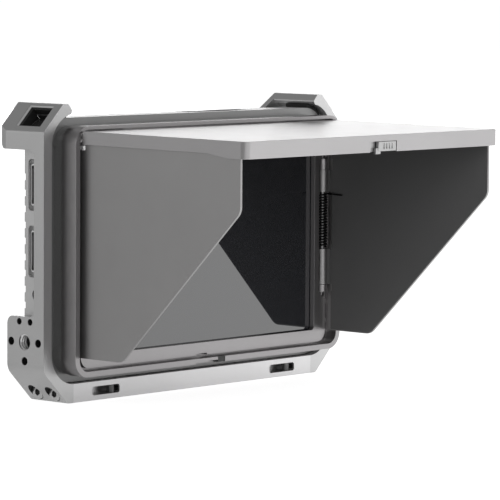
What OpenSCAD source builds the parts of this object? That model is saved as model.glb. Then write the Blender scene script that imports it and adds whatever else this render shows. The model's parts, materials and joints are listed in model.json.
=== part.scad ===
// Camera field monitor with a fold-out sun hood, held in a machined cage.
// Millimetres. +X is the viewer's right, the screen faces -Y, +Z is up.
// The origin is the mouth of the tripod thread, in the middle of the base bar's underside.

/* [Cage] */
// Overall width of the cage
cage_w = 172; // [166:1:180]
// Overall height of the cage, up to the flat tops of the hooks
cage_h = 115.8; // [112:0.2:120]
// Distance from the tripod thread forward to the cage's front face
cage_front = 10; // [9:0.5:12]
// Distance from the tripod thread back to the rear of the base
cage_back = 10; // [9:0.5:12]
// Distance from the tripod thread back to the rear of the hooks
hook_back = 15.2; // [14:0.1:17]
// Thickness of the upright side plates
plate_t = 4.3; // [3.5:0.1:4.6]
// Depth of the upright part of a side plate
web_d = 5.4; // [4.5:0.1:5.6]
// Size of the 45 degree chamfer at the bottom corners
bottom_chamfer = 13.1; // [12:0.1:14]
// Size of the 45 degree chamfer at the top corners
top_chamfer = 10.4; // [9:0.1:11]
// Height of the base bar
bar_h = 7.4; // [7:0.1:8]
// Height of the solid block at the foot of a side plate
block_h = 34; // [33:0.5:36]
// Height of a hook's rear arm, down from its flat top
hook_arm_h = 17.6; // [15.8:0.1:19.8]
// Thickness of the wall that closes a hook behind
hook_wall = 2.8; // [2:0.1:3.2]
// Distance from the cage's side in to the seam between bar and side plate
seam_in = 16.3; // [15.5:0.1:17]

/* [Cage holes] */
// Radius of the 1/4 inch tripod threads
tripod_r = 3.175; // [3:0.005:3.2]
// Height of the side threads
side_thread_z = 24.1; // [23.5:0.1:24.5]
// Place of the side threads behind the tripod thread
side_thread_y = 0.4; // [0:0.1:0.8]
// Radius of the locating holes round a side thread
locating_r = 1.6; // [1.4:0.05:1.7]
// Distance from a side thread to its locating holes
locating_d = 7.35; // [7.2:0.05:7.6]
// Radius of the pair of small holes above a side thread
small_hole_r = 1.3; // [1.1:0.05:1.4]
// Spacing of the pair of small holes
small_hole_pitch = 5.9; // [5.6:0.1:6.2]
// Height of the pair of small holes above the side thread
small_hole_rise = 7.9; // [7.8:0.05:8]
// Radius of the corner screws
corner_screw_r = 1.5; // [1.25:0.05:1.6]
// Radius of the corner screws' heads
corner_head_r = 2.75; // [2.5:0.05:2.8]
// Spacing of the two corner screws
corner_screw_pitch = 9.2; // [8.8:0.1:9.6]
// Length of the slots in the base bar's front
bar_slot_w = 15.3; // [13:0.1:17]
// Height of the slots in the base bar's front
bar_slot_h = 3.4; // [3:0.1:3.8]
// Depth of the slots in the base bar's front
bar_slot_d = 6; // [5:0.5:7]
// Distance from the seam in to the centre of a bar slot
bar_slot_in = 17.9; // [15.7:0.1:19.7]
// Width of the window in a hook, front to back
window_w = 11.4; // [10:0.1:12]
// Length of the window in a hook, along its chamfer
window_l = 9.4; // [8.6:0.1:9.6]
// Place of the window's middle behind the tripod thread
window_y = -0.3; // [-0.8:0.1:0.2]

/* [Monitor body] */
// Gap between the monitor body and a side plate
body_side_gap = 0.4; // [0.3:0.05:0.7]
// Distance from the hooks' flat tops down to the monitor body's top
body_drop = 5.5; // [5.2:0.1:5.8]
// Corner radius of the monitor body
body_r = 11.9; // [11.5:0.1:12]
// Gap between the base bar and the monitor body
foot_gap = 0.3; // [0.3:0.05:0.4]
// Front face of the wide rear half, ahead of the tripod thread
body_front = 6.3; // [6:0.1:6.5]
// Back face of the monitor body, behind the tripod thread
body_back = 5.3; // [5:0.1:6]
// Thickness of the rear housing's side walls
side_wall = 2.9; // [2.6:0.1:3.1]
// Thickness of the rear housing's top and bottom walls
cap_wall = 1.8; // [1.6:0.1:2]
// Thickness of the rear housing's back wall
back_wall = 2.4; // [2.2:0.1:2.6]
// Distance from the body's side in to the side of its narrow front half
neck_in = 3.8; // [3.7:0.05:4.3]
// Thickness of the front housing's plate
plate_wall = 1.8; // [1.6:0.1:2]
// Thickness of the front housing's edge
neck_wall = 3; // [2.6:0.1:3.2]
// Width of a cooling slot in the top
vent_w = 2; // [1.6:0.1:2.4]
// Spacing of the cooling slots in the top
vent_pitch = 9.5; // [8.5:0.1:10.5]

/* [Screen] */
// How far the cover glass reaches behind the side of its opening
glass_lap = 1.1; // [0.9:0.05:1.2]
// How far the cover glass reaches behind the opening's top and bottom
glass_lap_end = 1.85; // [1.65:0.05:1.95]
// Thickness of the cover glass
glass_t = 1.1; // [0.8:0.05:1.1]
// Black border between the picture area and the glass's side
border_side = 5; // [4.4:0.1:5.9]
// Black border between the picture area and the glass's top or bottom
border_end = 5.35; // [4.6:0.05:6.1]
// Thickness of the picture panel
panel_t = 2; // [1.6:0.1:2]
// Thickness of the backlight
backlight_t = 2.6; // [2:0.1:2.8]

/* [Ports and buttons] */
// Distance from the body's top down to the upper video socket
port_drop = 25.8; // [25.3:0.1:26.3]
// Distance from the upper video socket down to the lower one
port_pitch = 25.7; // [25.2:0.1:26.2]
// Place of the video sockets behind the tripod thread
port_y = 0.2; // [0:0.1:0.3]
// Height of the recess round a video socket
recess_h = 20; // [18.5:0.1:21]
// Width of the recess round a video socket
recess_w = 6; // [5.8:0.1:6.2]
// Depth of the recess round a video socket
recess_d = 1.9; // [1.7:0.1:2]
// Height of a video socket's mouth
socket_h = 15; // [14.5:0.1:15.2]
// Width of a video socket's mouth
socket_w = 4.55; // [4.5:0.05:4.6]
// Distance from the lower video socket down to the headphone jack
jack_drop = 16.65; // [16.3:0.05:16.8]
// Place of the jack ahead of the tripod thread
jack_y = 1.4; // [1.2:0.1:1.5]
// Radius of the jack's bore
jack_r = 1.8; // [1.75:0.05:1.9]
// Radius of a push button
button_r = 2.2; // [2:0.05:2.3]
// Running gap round a push button
button_gap = 0.1; // [0.05:0.01:0.1]
// Travel of a push button
button_travel = 0.6; // [0.4:0.05:0.6]
// Spacing of the push buttons
button_pitch = 11; // [10:0.5:12]
// Distance from the body's top down to the topmost button
button_drop = 25.3; // [24.3:0.1:26.3]

/* [Hood frame] */
// Distance from the body's side in to the side of the hood's base frame
frame_in = 3.6; // [3.4:0.05:3.7]
// Distance from the body's bottom up to the frame's lower edge
frame_rise = 3.1; // [2.9:0.1:3.3]
// Distance from the body's top down to the frame's upper edge
frame_drop = 2.8; // [2.6:0.1:3]
// Outer corner radius of the frame
frame_r = 7; // [6.5:0.1:7.5]
// Depth of the frame, front to back
frame_d = 7.7; // [7.6:0.1:7.8]
// Distance from the tripod thread forward to the frame's front face
frame_front = 19; // [19:0.1:19.2]
// Thickness of the frame's side rim
rim_t = 2.3; // [2.1:0.05:2.4]
// Thickness of the frame's top rim
rim_top_t = 1.3; // [1.2:0.05:1.4]
// Thickness of the frame's bottom rim
rim_bottom_t = 2.15; // [2:0.05:2.2]
// Depth of the raised inner face behind the frame's front
platform_d = 3; // [3:0.05:3.1]
// Distance from the frame's side in to the side of the raised inner face
platform_in = 5.9; // [5.7:0.05:6.1]
// Distance from the frame's lower edge up to the raised inner face
platform_rise = 3.05; // [2.9:0.05:3.2]
// Distance from the frame's upper edge down to the raised inner face
platform_drop = 6.5; // [6.3:0.05:6.9]
// Width of the raised face beside the screen opening
face_side = 7; // [6.8:0.05:7.3]
// Height of the raised face below the screen opening
face_below = 5.05; // [4.8:0.05:5.3]
// Height of the raised face above the screen opening
face_above = 6.6; // [6.35:0.05:6.85]
// Depth of the channel round the raised face
channel_d = 2.1; // [1.8:0.05:2.1]

/* [Lid] */
// Distance from the frame's side in to the lid's side
lid_in = 2.7; // [2.6:0.05:2.8]
// Reach of the lid in front of the frame
lid_reach = 84.6; // [84:0.1:92]
// Thickness of the lid's sheet
lid_t = 1; // [0.8:0.05:1.1]
// Height of the lid's front lip
lip_h = 6.5; // [6.2:0.1:7]
// Height of the lid's side lips
side_lip_h = 5.1; // [5:0.05:5.2]
// Thickness of the lips
lip_t = 1; // [0.9:0.05:1]
// Corner radius of the lid in plan
lid_r = 3; // [2:0.1:4]
// Angle that the open lid droops by
lid_droop = 0.5; // [0:0.1:0.5]
// Distance from the frame's upper edge down to the lid's hinge axis
lid_axis_drop = 4.1; // [4:0.05:4.2]
// Lid's hinge axis behind the frame's front
lid_axis_d = 0.8; // [0.7:0.05:0.9]
// Radius of the lid's hinge barrels
lid_barrel_r = 2.1; // [2:0.05:2.15]
// Radius of the lid's hinge pins
lid_pin_r = 0.9; // [0.8:0.05:1]

/* [Flaps] */
// Reach of the flaps in front of the frame
flap_reach = 81; // [78:0.1:81.2]
// Thickness of a flap
flap_t = 1; // [0.8:0.05:1]
// Thickness of the dark film inside a flap
film_t = 0.15; // [0.1:0.05:0.15]
// Distance from the raised inner face's top down to a flap's top edge
flap_drop = 0.1; // [0:0.05:0.2]
// Distance from the raised inner face's bottom up to a flap's bottom edge
flap_rise = 4.55; // [4.15:0.05:6.15]
// Height and width of a flap's slanting edge
flap_slant = 60.2; // [52:0.1:64]
// Distance from the raised inner face's side in to a flap's hinge axis
flap_axis_in = 1.6; // [1.5:0.05:1.8]
// Right flap's hinge axis behind the frame's front
right_axis_d = 3.6; // [3.55:0.01:3.65]
// Left flap's hinge axis behind the frame's front
left_axis_d = 5.05; // [5:0.01:5.1]
// Radius of the flap hinge barrels
barrel_r = 2.1; // [1.9:0.05:2.15]
// Radius of the flap hinge pins
pin_r = 1.1; // [0.9:0.05:1.2]
// Running gap between a pin and the barrels that turn on it
pin_gap = 0.05; // [0.03:0.01:0.08]
// Distance from a flap's bottom edge up to its hinge
hinge_rise = 16.2; // [15.6:0.1:17.1]
// Distance from a flap's top edge down to its hinge
hinge_drop = 11.4; // [10.9:0.1:12.4]
// Width of the slot along a flap's knuckles
knuckle_slot_w = 1.3; // [1:0.05:1.5]
// Diameter of the spring wire
wire_d = 0.7; // [0.6:0.05:0.7]
// Middle radius of the spring coils
coil_r = 1.95; // [1.85:0.05:1.95]
// Least spacing of the spring coils
coil_pitch = 1.15; // [1.12:0.01:1.5]

/* [Latch] */
// Width of the latch slider
latch_w = 10.5; // [9:0.1:11]
// Left end of the latch slider
latch_x = 0.9; // [0.5:0.1:1.2]
// Travel of the latch slider
latch_travel = 3; // [2:0.1:3.2]
// Width of the finger space beside the slider
latch_space = 5; // [4.6:0.1:5.5]
// Depth of the latch's case behind the lip
latch_case_d = 5; // [4.6:0.1:6]
// Distance from the slider's left end to its guided body
latch_body_x = 3; // [2.6:0.1:4]

/* [Battery plate] */
// Width of the battery plate
battery_w = 42; // [40:0.5:46]
// Height of the battery plate
battery_h = 72; // [68:0.5:76]
// Thickness of the battery plate
battery_t = 6; // [5.5:0.1:6.5]
// Height of the battery plate's lower edge
battery_z = 22; // [18:0.5:24]
// Travel of the battery release
release_travel = 2.5; // [1.5:0.1:2.8]

/* [Hidden] */
$fn = 48;
eps = 0.05;
thread_gap = 0.03;
seat = 0.1;
clear = 0.3;
corner_steps = 6;

cage_x = cage_w / 2;
inner_x = cage_x - plate_t;
seam_x = cage_x - seam_in;
hook_z = cage_h - hook_arm_h;
web_y = web_d - cage_front;
hook_tip_x = cage_x - 15.4;
window_mid = cage_x - top_chamfer / 2;
window_mid_z = cage_h - top_chamfer / 2;
bar_slot_x = seam_x - bar_slot_in;
bar_slot_z = bar_h / 2;
bar_slot_r = 1.1;
bar_pin_r = 1.5;
bar_pin_x = bar_slot_w / 2 - bar_slot_r - bar_pin_r - 0.05;
corner_screw_z = bar_h / 2;
corner_screw_y = -0.7;
corner_seat_x = cage_x - bottom_chamfer + 0.2;
screw_grip = 8;
clamp_x = 28;
clamp_r = 1.5;

body_x = inner_x - body_side_gap;
body_z0 = bar_h + foot_gap;
body_top = cage_h - body_drop;
corner_x = body_x - body_r;
hook_arc_r = inner_x - corner_x;
hook_arc_z = body_top - body_r + 1.2;
cavity_back = body_back - back_wall;

frame_x = body_x - frame_in;
frame_z0 = body_z0 + frame_rise;
frame_z1 = body_top - frame_drop;
frame_y = -frame_front;
frame_back = frame_y + frame_d;
neck_x = body_x - neck_in;
neck_z0 = frame_z0 + 0.2;
neck_z1 = frame_z1 - 0.2;
platform_x = frame_x - platform_in;
platform_z0 = frame_z0 + platform_rise;
platform_z1 = frame_z1 - platform_drop;
platform_y = frame_y + platform_d;
channel_y = platform_y + channel_d;
opening_x = platform_x - face_side;
opening_z0 = platform_z0 + face_below;
opening_z1 = platform_z1 - face_above;

screen_z = (opening_z0 + opening_z1) / 2;
glass_x = opening_x + glass_lap;
glass_h = opening_z1 - opening_z0 + 2 * glass_lap_end;
glass_z0 = screen_z - glass_h / 2;
glass_front = channel_y + clear;
glass_back = glass_front + glass_t;
active_x = glass_x - border_side;
active_h = glass_h - 2 * border_end;
panel_front = glass_back + seat;
panel_back = panel_front + panel_t;
light_back = panel_back + seat + backlight_t;
bracket_x = glass_x + 4.1;
bracket_z = [screen_z - 16.65, screen_z + 17.35];
bracket_reach = 3;

port_upper_z = body_top - port_drop;
port_lower_z = port_upper_z - port_pitch;
jack_z = port_lower_z - jack_drop;
post_r = 3;
post_x = neck_x - 6.7;
post_z = [neck_z0 + 8.6, neck_z1 - 8.7];
board_front = -4.3;
board_back = board_front + 1.6;
board_x0 = 4.3 - body_x;
board_x1 = 34;
board_z0 = jack_z - 6.15;
board_z1 = neck_z1 - 9.3;
board_step_z = jack_z + 5.85;
board_screw_x = [board_x0 + 19, board_x1 - 6];
board_screw_z = [board_step_z + 3, board_z1 - 4];
socket_x = -body_x + recess_d;
jack_back = -body_x + 14;
button_y = -0.1;
button_z = [for (i = [0:2]) body_top - button_drop - i * button_pitch];
button_board_x = body_x - side_wall - 3.6;

lid_x = frame_x - lid_in;
lid_front = frame_y - lid_reach;
lid_axis_y = frame_y + lid_axis_d;
lid_axis_z = frame_z1 - lid_axis_drop;
lid_top = lid_axis_z + 2.3;
lid_under = lid_top - lid_t;
lid_ear_w = 4;
lid_barrel_w = 11.6;
lid_barrel_x = lid_x - 19;
lid_bore_reach = 16;

flap_axis_x = platform_x - flap_axis_in;
flap_outer = flap_axis_x + 3.5;
flap_inner = flap_outer - flap_t;
flap_front = frame_y - flap_reach;
flap_top = platform_z1 - flap_drop;
flap_bottom = platform_z0 + flap_rise;
flap_corner_z = flap_bottom + flap_slant;
hinge_z0 = flap_bottom + hinge_rise;
hinge_z1 = flap_top - hinge_drop;
low_end_h = 2.8;
top_end_h = 4.4;
end_gap = 0.2;
coil_z0 = hinge_z0 + 18;
coil_z1 = hinge_z1 - 13.8;
frame_screw_x = flap_axis_x + 3.4;
frame_screw_z = [hinge_z0 - 12.6, hinge_z0 - 4.6, hinge_z1 + 5];
catch_x0 = 3;
catch_x1 = 7.3;
catch_d = 2.6;

// Centre line of a flap spring about its own axis: a stub, the coils, then a leg along the flap.
spring_leg = 9;
steps_per_coil = 8;
coil_turn = 360 / steps_per_coil;
coil_low = coil_z0 + wire_d / 2 + 0.2;
coil_space = coil_z1 - coil_z0 - wire_d - 0.5;
coils = floor(coil_space / coil_pitch);
coil_step = coil_space / coils;
leg_z = coil_z1 - wire_d / 2 - 0.6;
spring_path = concat(
    [[coil_r, -wire_d - 0.3, coil_low]],
    [for (i = [0:coils * steps_per_coil]) [coil_r * cos(i * coil_turn), coil_r * sin(i * coil_turn),
        coil_low + i / steps_per_coil * coil_step]],
    [[coil_r + 0.01, -1.2, coil_z1 - wire_d / 2 - 0.3], [coil_r + 0.01, -spring_leg, leg_z]]);
spring_gap = min([for (i = [0:len(spring_path) - 6]) for (j = [i + 5:min(i + 12, len(spring_path) - 1)])
    norm(spring_path[i] - spring_path[j])]) - wire_d;
echo(least_gap_of_spring_to_itself_mm = spring_gap);

latch_top = lid_under - 1.6;
latch_bottom = lid_top - lip_h + 0.3;
latch_foot = latch_bottom + 0.9;

battery_x = battery_w / 2;
battery_back = body_back + battery_t;
battery_screw_x = battery_x - 5;
battery_screw_z = [battery_z + 6, battery_z + battery_h - 6];
release_floor = 3;
release_rest = release_floor + release_travel + 0.5;

// Corner points of an outline, each rounded with its own radius: [x, y, radius].
function unit(v) = v / norm(v);
function rounded(p) = [for (i = [0:len(p) - 1]) let (
        a = p[(i + len(p) - 1) % len(p)], b = p[i], c = p[(i + 1) % len(p)],
        o = [b[0], b[1]], u = unit([a[0], a[1]] - o), v = unit([c[0], c[1]] - o),
        half = acos(max(-1, min(1, u * v))) / 2, reach = b[2] / tan(half),
        mid = o + unit(u + v) * b[2] / sin(half), from = o + u * reach - mid, to = o + v * reach - mid,
        turn = 180 - 2 * half, way = from[0] * to[1] - from[1] * to[0] > 0 ? 1 : -1)
        each b[2] == 0 ? [o] : [for (k = [0:corner_steps]) let (t = way * turn * k / corner_steps)
            mid + [from[0] * cos(t) - from[1] * sin(t), from[0] * sin(t) + from[1] * cos(t)]]];

// Solid between two Y values from an outline in X and Z.
module along_y(y0, y1) {
    translate([0, y1, 0]) rotate([90, 0, 0]) linear_extrude(height = y1 - y0) children();
}

// Solid between two X values from an outline in Y and Z.
module along_x(x0, x1) {
    translate([x0, 0, 0]) rotate([90, 0, 90]) linear_extrude(height = x1 - x0) children();
}

// Rectangle with true round corners.
module round_rect(x0, x1, z0, z1, r) {
    translate([x0 + r, z0]) square([x1 - x0 - 2 * r, z1 - z0]);
    translate([x0, z0 + r]) square([x1 - x0, z1 - z0 - 2 * r]);
    for (x = [x0 + r, x1 - r]) for (z = [z0 + r, z1 - r]) translate([x, z]) circle(r = r);
}

// Round-cornered slab facing the viewer.
module slab(half_w, z0, z1, r, y0, y1) {
    along_y(y0, y1) round_rect(-half_w, half_w, z0, z1, r);
}

module box(x0, x1, y0, y1, z0, z1) {
    translate([x0, y0, z0]) cube([x1 - x0, y1 - y0, z1 - z0]);
}

// Bar of round section along Y, X or Z.
module rod_y(x, z, r, y0, y1) {
    translate([x, y0, z]) rotate([-90, 0, 0]) cylinder(r = r, h = y1 - y0);
}
module rod_x(y, z, r, x0, x1) {
    translate([x0, y, z]) rotate([0, 90, 0]) cylinder(r = r, h = x1 - x0);
}
module rod_z(x, y, r, z0, z1) {
    translate([x, y, z0]) cylinder(r = r, h = z1 - z0);
}

// Screw along Y with its head at the back and a hexagon socket.
module screw_y(x, z, r, head_r, head_h, y0, y1) {
    difference() {
        union() {
            rod_y(x, z, r, y0, y1 - head_h + eps);
            rod_y(x, z, head_r, y1 - head_h, y1);
        }
        translate([x, y1 - head_h * 0.6, z]) rotate([-90, 0, 0])
            cylinder(r = head_r * 0.5, h = head_h, $fn = 6);
    }
}

module both_sides() {
    children();
    mirror([1, 0, 0]) children();
}

// Outline of the left side plate as seen from the front.
module plate_outline() {
    x0 = -cage_x;
    difference() {
        polygon(rounded([[-seam_x, 0, 0], [x0 + bottom_chamfer, 0, 2], [x0, bottom_chamfer, 6],
            [x0, cage_h - top_chamfer, 1.5], [x0 + top_chamfer, cage_h, 1.5],
            [-hook_tip_x - 2.4, cage_h, 0.8], [-hook_tip_x, cage_h - 2.6, 0.8],
            [-hook_tip_x - 0.6, cage_h - 3.9, 0.3], [-hook_tip_x - 2, hook_arc_z + hook_arc_r - 1, 0],
            [-seam_x, hook_arc_z - hook_arc_r, 0]]));
        translate([-corner_x, hook_arc_z]) circle(r = hook_arc_r);
        translate([-corner_x, bar_h + hook_arc_r]) circle(r = hook_arc_r);
        translate([-inner_x, bar_h + hook_arc_r])
            square([inner_x, hook_arc_z - bar_h - hook_arc_r]);
        translate([-corner_x, bar_h]) square([corner_x, cage_h]);
    }
}

// Outline of the wall behind the left hook, reaching in over the body's rear corner.
module hook_wall_outline() {
    x0 = -cage_x;
    peak = 11.5;
    reach = 24;
    fall = 8.1;
    polygon(rounded([[x0, hook_z - 1, 0], [x0, cage_h - top_chamfer, 1.5], [x0 + top_chamfer, cage_h, 0.3],
        [x0 + peak, cage_h, 0.5], [x0 + reach, cage_h - fall, 1], [x0 + plate_t + 5, hook_z - 1, 0]]));
}

// Side view of the left side plate: hook at the top, upright web in front, solid foot below.
module plate_profile() {
    difference() {
        polygon(rounded([[-cage_front, -1, 0], [cage_back, -1, 0], [cage_back, block_h, 3],
            [cage_back - 5, block_h, 0], [cage_back - 5, hook_z, 0], [hook_back, hook_z, 2.5],
            [hook_back, cage_h + eps, 0.5],
            [-cage_front, cage_h + eps, 0]]));
        round_rect(web_y, cage_back + 20, block_h, hook_z, 2.5);
    }
}

// Window through a hook, with a shallow ledge behind and above it.
module hook_window() {
    through = 7;
    ledge_depth = 0.9;
    front = window_y - window_w / 2;
    rear = window_y + window_w / 2;
    translate([-window_mid, 0, window_mid_z]) rotate([0, -45, 0]) {
        box(-window_l / 2, window_l / 2, front, rear, -through, through);
        box(-window_l / 2, window_l / 2 + 1.4, front, rear + 1.6, -ledge_depth, through);
    }
}

// Bevels the hook's rear end, well in at the side and slightly along the chamfer.
module hook_rear_bevel() {
    bevel_l = 4.4;
    side_angle = 25;
    chamfer_angle = 5;
    translate([-cage_x, hook_back - bevel_l, hook_z - 5]) rotate([0, 0, -side_angle]) translate([-8, 0, 0])
        cube([8, 12, 30]);
    translate([-window_mid, hook_back - bevel_l, window_mid_z]) rotate([0, -45, 0])
        rotate([-chamfer_angle, 0, 0]) translate([-15, 0, 0]) cube([30, 12, 8]);
}

module plate_body() {
    hole_end = -inner_x - 0.8;
    difference() {
        intersection() {
            union() {
                along_y(-cage_front - eps, hook_back - hook_wall + eps) plate_outline();
                along_y(hook_back - hook_wall, hook_back + eps) hook_wall_outline();
            }
            along_x(-cage_x - 1, -1) plate_profile();
        }
        hook_window();
        hook_rear_bevel();
        rod_x(side_thread_y, side_thread_z, tripod_r, -cage_x - 1, -inner_x + 1);
        for (side = [-1, 1]) {
            rod_x(side_thread_y + side * locating_d, side_thread_z, locating_r, -cage_x - 1, hole_end);
            rod_x(side_thread_y + side * small_hole_pitch / 2, side_thread_z + small_hole_rise, small_hole_r,
                -cage_x - 1, hole_end);
            rod_x(corner_screw_y + side * corner_screw_pitch / 2, corner_screw_z, corner_head_r + 0.2,
                -cage_x, -corner_seat_x);
            rod_x(corner_screw_y + side * corner_screw_pitch / 2, corner_screw_z, corner_screw_r + 0.05,
                -cage_x, -seam_x + 1);
        }
        rod_x(side_thread_y, side_thread_z - locating_d, locating_r, -cage_x - 1, hole_end);
    }
}

module side_plate_left() {
    color("#9a9a9a") plate_body();
}

module side_plate_right() {
    color("#9a9a9a") mirror([1, 0, 0]) plate_body();
}

module base_bar() {
    color("#b4b4b4") difference() {
        box(-seam_x, seam_x, -cage_front, cage_back, 0, bar_h);
        rod_z(0, 0, tripod_r, -1, bar_h + 1);
        both_sides() {
            along_y(-cage_front - 1, -cage_front + bar_slot_d)
                round_rect(bar_slot_x - bar_slot_w / 2, bar_slot_x + bar_slot_w / 2,
                    bar_slot_z - bar_slot_h / 2, bar_slot_z + bar_slot_h / 2, bar_slot_r);
            rod_z(clamp_x, 0, clamp_r + 0.05, -1, bar_h + 1);
            rod_z(clamp_x, 0, clamp_r + 1.4, -1, 2.2);
            for (side = [-1, 1])
                rod_x(corner_screw_y + side * corner_screw_pitch / 2, corner_screw_z,
                    corner_screw_r + thread_gap, seam_x - screw_grip - 0.5, seam_x + 1);
        }
    }
}

module corner_screws() {
    color("silver") both_sides() for (side = [-1, 1])
        translate([0, corner_screw_y + side * corner_screw_pitch / 2, corner_screw_z]) difference() {
            union() {
                rod_x(0, 0, corner_screw_r, -corner_seat_x - eps, -seam_x + screw_grip);
                rod_x(0, 0, corner_head_r, -corner_seat_x - 2.6, -corner_seat_x);
            }
            translate([-corner_seat_x - 2.7, 0, 0]) rotate([0, 90, 0])
                cylinder(r = 1.45, h = 1.7, $fn = 6);
        }
}

// Short threaded pins standing in the ends of the bar's slots.
module bar_pins() {
    color("silver") for (x = [-bar_slot_x, bar_slot_x])
        translate([x + bar_pin_x, -cage_front + 2.6, 0]) difference() {
            rod_z(0, 0, bar_pin_r, bar_slot_z - bar_slot_h / 2, bar_slot_z + bar_slot_h / 2);
            translate([0, 0, bar_slot_z + bar_slot_h / 2 - 0.6]) cylinder(r = 0.6, h = 1, $fn = 6);
        }
}

// Rubber pads between the hooks and the monitor body's top corners.
module hook_pads() {
    pad_y = 7;
    pad_front = -body_front;
    color("#2a2a2a") both_sides() difference() {
        intersection() {
            rod_y(-corner_x, hook_arc_z, hook_arc_r - eps, pad_front, body_back - eps);
            box(-corner_x - 9, -corner_x - 1, pad_front, body_back - eps, hook_arc_z, cage_h);
        }
        rod_y(-corner_x, body_top - body_r, body_r + eps, -pad_y * 2, pad_y * 2);
        hook_window();
    }
}

module clamp_screws() {
    color("silver") both_sides() translate([clamp_x, 0, 0]) difference() {
        union() {
            rod_z(0, 0, clamp_r, 2.1, body_z0 + cap_wall + 2.5);
            rod_z(0, 0, clamp_r + 1.2, 0.3, 2.2);
        }
        cylinder(r = 1.2, h = 1.4, $fn = 6);
    }
}

module screw_posts(r, y0, y1) {
    for (x = [-post_x, post_x]) for (z = post_z) rod_y(x, z, r, y0, y1);
}

module bracket_bosses(r, y0, y1) {
    for (x = [-bracket_x, bracket_x]) for (z = bracket_z) rod_y(x, z, r, y0, y1);
}

// Shallow panels sunk in both sides of the narrow front half.
module neck_panels() {
    both_sides() along_x(neck_x - 0.5, neck_x + 1)
        round_rect(frame_back + 0.4, -body_front + 6, neck_z0 + 10.3, neck_z1 - 7.8, 4);
}

module front_housing() {
    pad_x = glass_x + 0.8;
    pad_h = glass_h / 2 + 0.8;
    window_x = active_x + 2.6;
    window_h = active_h / 2 + 2.5;
    behind_plate = frame_back + plate_wall;
    color("#3f3f41") difference() {
        union() {
            difference() {
                slab(neck_x, neck_z0, neck_z1, frame_r + 1, frame_back, -body_front);
                slab(neck_x - neck_wall, neck_z0 + neck_wall, neck_z1 - neck_wall, frame_r - 2,
                    behind_plate, -body_front + 1);
            }
            slab(pad_x, screen_z - pad_h, screen_z + pad_h, 2, glass_front, frame_back + eps);
            screw_posts(post_r, frame_back + 1, -body_front);
            bracket_bosses(2.6, frame_back + 1, light_back + seat);
        }
        slab(glass_x + seat, glass_z0 - seat, glass_z0 + glass_h + seat, 1.5, glass_front - 1, glass_back);
        slab(window_x, screen_z - window_h, screen_z + window_h, 1, glass_front - 1, behind_plate + 1);
        screw_posts(1.25, behind_plate, -body_front + 1);
        bracket_bosses(0.9, behind_plate, 0);
        for (x = [-frame_screw_x, frame_screw_x]) for (z = frame_screw_z)
            rod_y(x, z, 0.8, frame_back - 1, behind_plate + 1);
        neck_panels();
    }
}

// Slots that let warm air out, slanting across the top.
module top_vents() {
    each_side = floor((corner_x - 6) / vent_pitch);
    for (i = [-each_side:each_side])
        translate([i * vent_pitch, -0.5, body_top - cap_wall / 2]) rotate([0, 0, 35])
            cube([vent_w, 7.4, cap_wall + 2], center = true);
}

// Grip notches along the rear edges.
module rear_notches() {
    pitch = 6.2;
    depth = 0.8;
    for (i = [-8:8]) translate([i * pitch, body_back, body_top]) rotate([45, 0, 0])
        cube([pitch * 0.4, depth, depth], center = true);
    both_sides() for (i = [-5:4])
        translate([body_x, body_back, screen_z + 6 + i * pitch]) rotate([0, 0, 45])
            cube([depth, depth, pitch * 0.4], center = true);
}

// Level cooling slots on both sides of the battery plate.
module back_vents() {
    for (side = [-1, 1]) for (i = [0:7])
        translate([side * (body_x - 31.3), body_back, battery_z + 12 + i * 6]) rotate([90, 0, 0])
            linear_extrude(height = 12, center = true) round_rect(-13, 13, -1, 1, 0.9);
}

module video_recess(z) {
    along_x(-body_x - 1, socket_x)
        round_rect(port_y - recess_w / 2, port_y + recess_w / 2, z - recess_h / 2, z + recess_h / 2, 1.6);
    along_x(-body_x - 1, -body_x + side_wall + 1)
        round_rect(port_y - socket_w / 2 - 0.5, port_y + socket_w / 2 + 0.5,
            z - socket_h / 2 - 0.5, z + socket_h / 2 + 0.5, 0.6);
}

module rear_housing() {
    flange = 1.8;
    color("#8f8f90") difference() {
        union() {
            difference() {
                slab(body_x, body_z0, body_top, body_r, -body_front, body_back);
                slab(body_x - side_wall, body_z0 + cap_wall, body_top - cap_wall, body_r - side_wall,
                    -body_front + flange, cavity_back);
                slab(neck_x - 1.6, neck_z0 + 1.6, neck_z1 - 1.6, frame_r - 1, -body_front - 1, 0);
            }
            screw_posts(post_r, -body_front, cavity_back + eps);
            for (x = board_screw_x) for (z = board_screw_z) rod_y(x, z, 2.4, board_back, cavity_back + eps);
            both_sides() rod_z(clamp_x, 0, 2.8, body_z0 + 0.5, body_z0 + cap_wall + 3);
            for (z = [button_z[2] - 7, button_z[0] + 5])
                box(button_board_x, body_x - side_wall + eps, -2, 2, z, z + 2);
        }
        video_recess(port_upper_z);
        video_recess(port_lower_z);
        rod_x(-jack_y, jack_z, jack_r + 0.6, -body_x - 1, -body_x + side_wall + 1);
        for (z = button_z) rod_x(button_y, z, button_r + button_gap, body_x - side_wall - 1, body_x + 1);
        screw_posts(1.3, -body_front - 1, body_back + 1);
        screw_posts(2.4, body_back - 1.9, body_back + 1);
        for (x = board_screw_x) for (z = board_screw_z) rod_y(x, z, 0.8, board_back - 1, cavity_back);
        both_sides() rod_z(clamp_x, 0, clamp_r + thread_gap, body_z0 - 1, body_z0 + cap_wall + 3.5);
        for (x = [-battery_screw_x, battery_screw_x]) for (z = battery_screw_z)
            rod_y(x, z, 1, cavity_back - 1, body_back + 1);
        top_vents();
        rear_notches();
        back_vents();
    }
}

module cover_glass() {
    color("#15181d") slab(glass_x, glass_z0, glass_z0 + glass_h, 1.4, glass_front, glass_back);
}

// Plate as large as the picture area and that border round it.
module screen_plate(border, y0, y1) {
    box(-active_x - border, active_x + border, y0, y1,
        screen_z - active_h / 2 - border, screen_z + active_h / 2 + border);
}

module picture_panel() {
    color("#20242b") screen_plate(2.2, panel_front, panel_back);
}

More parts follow.
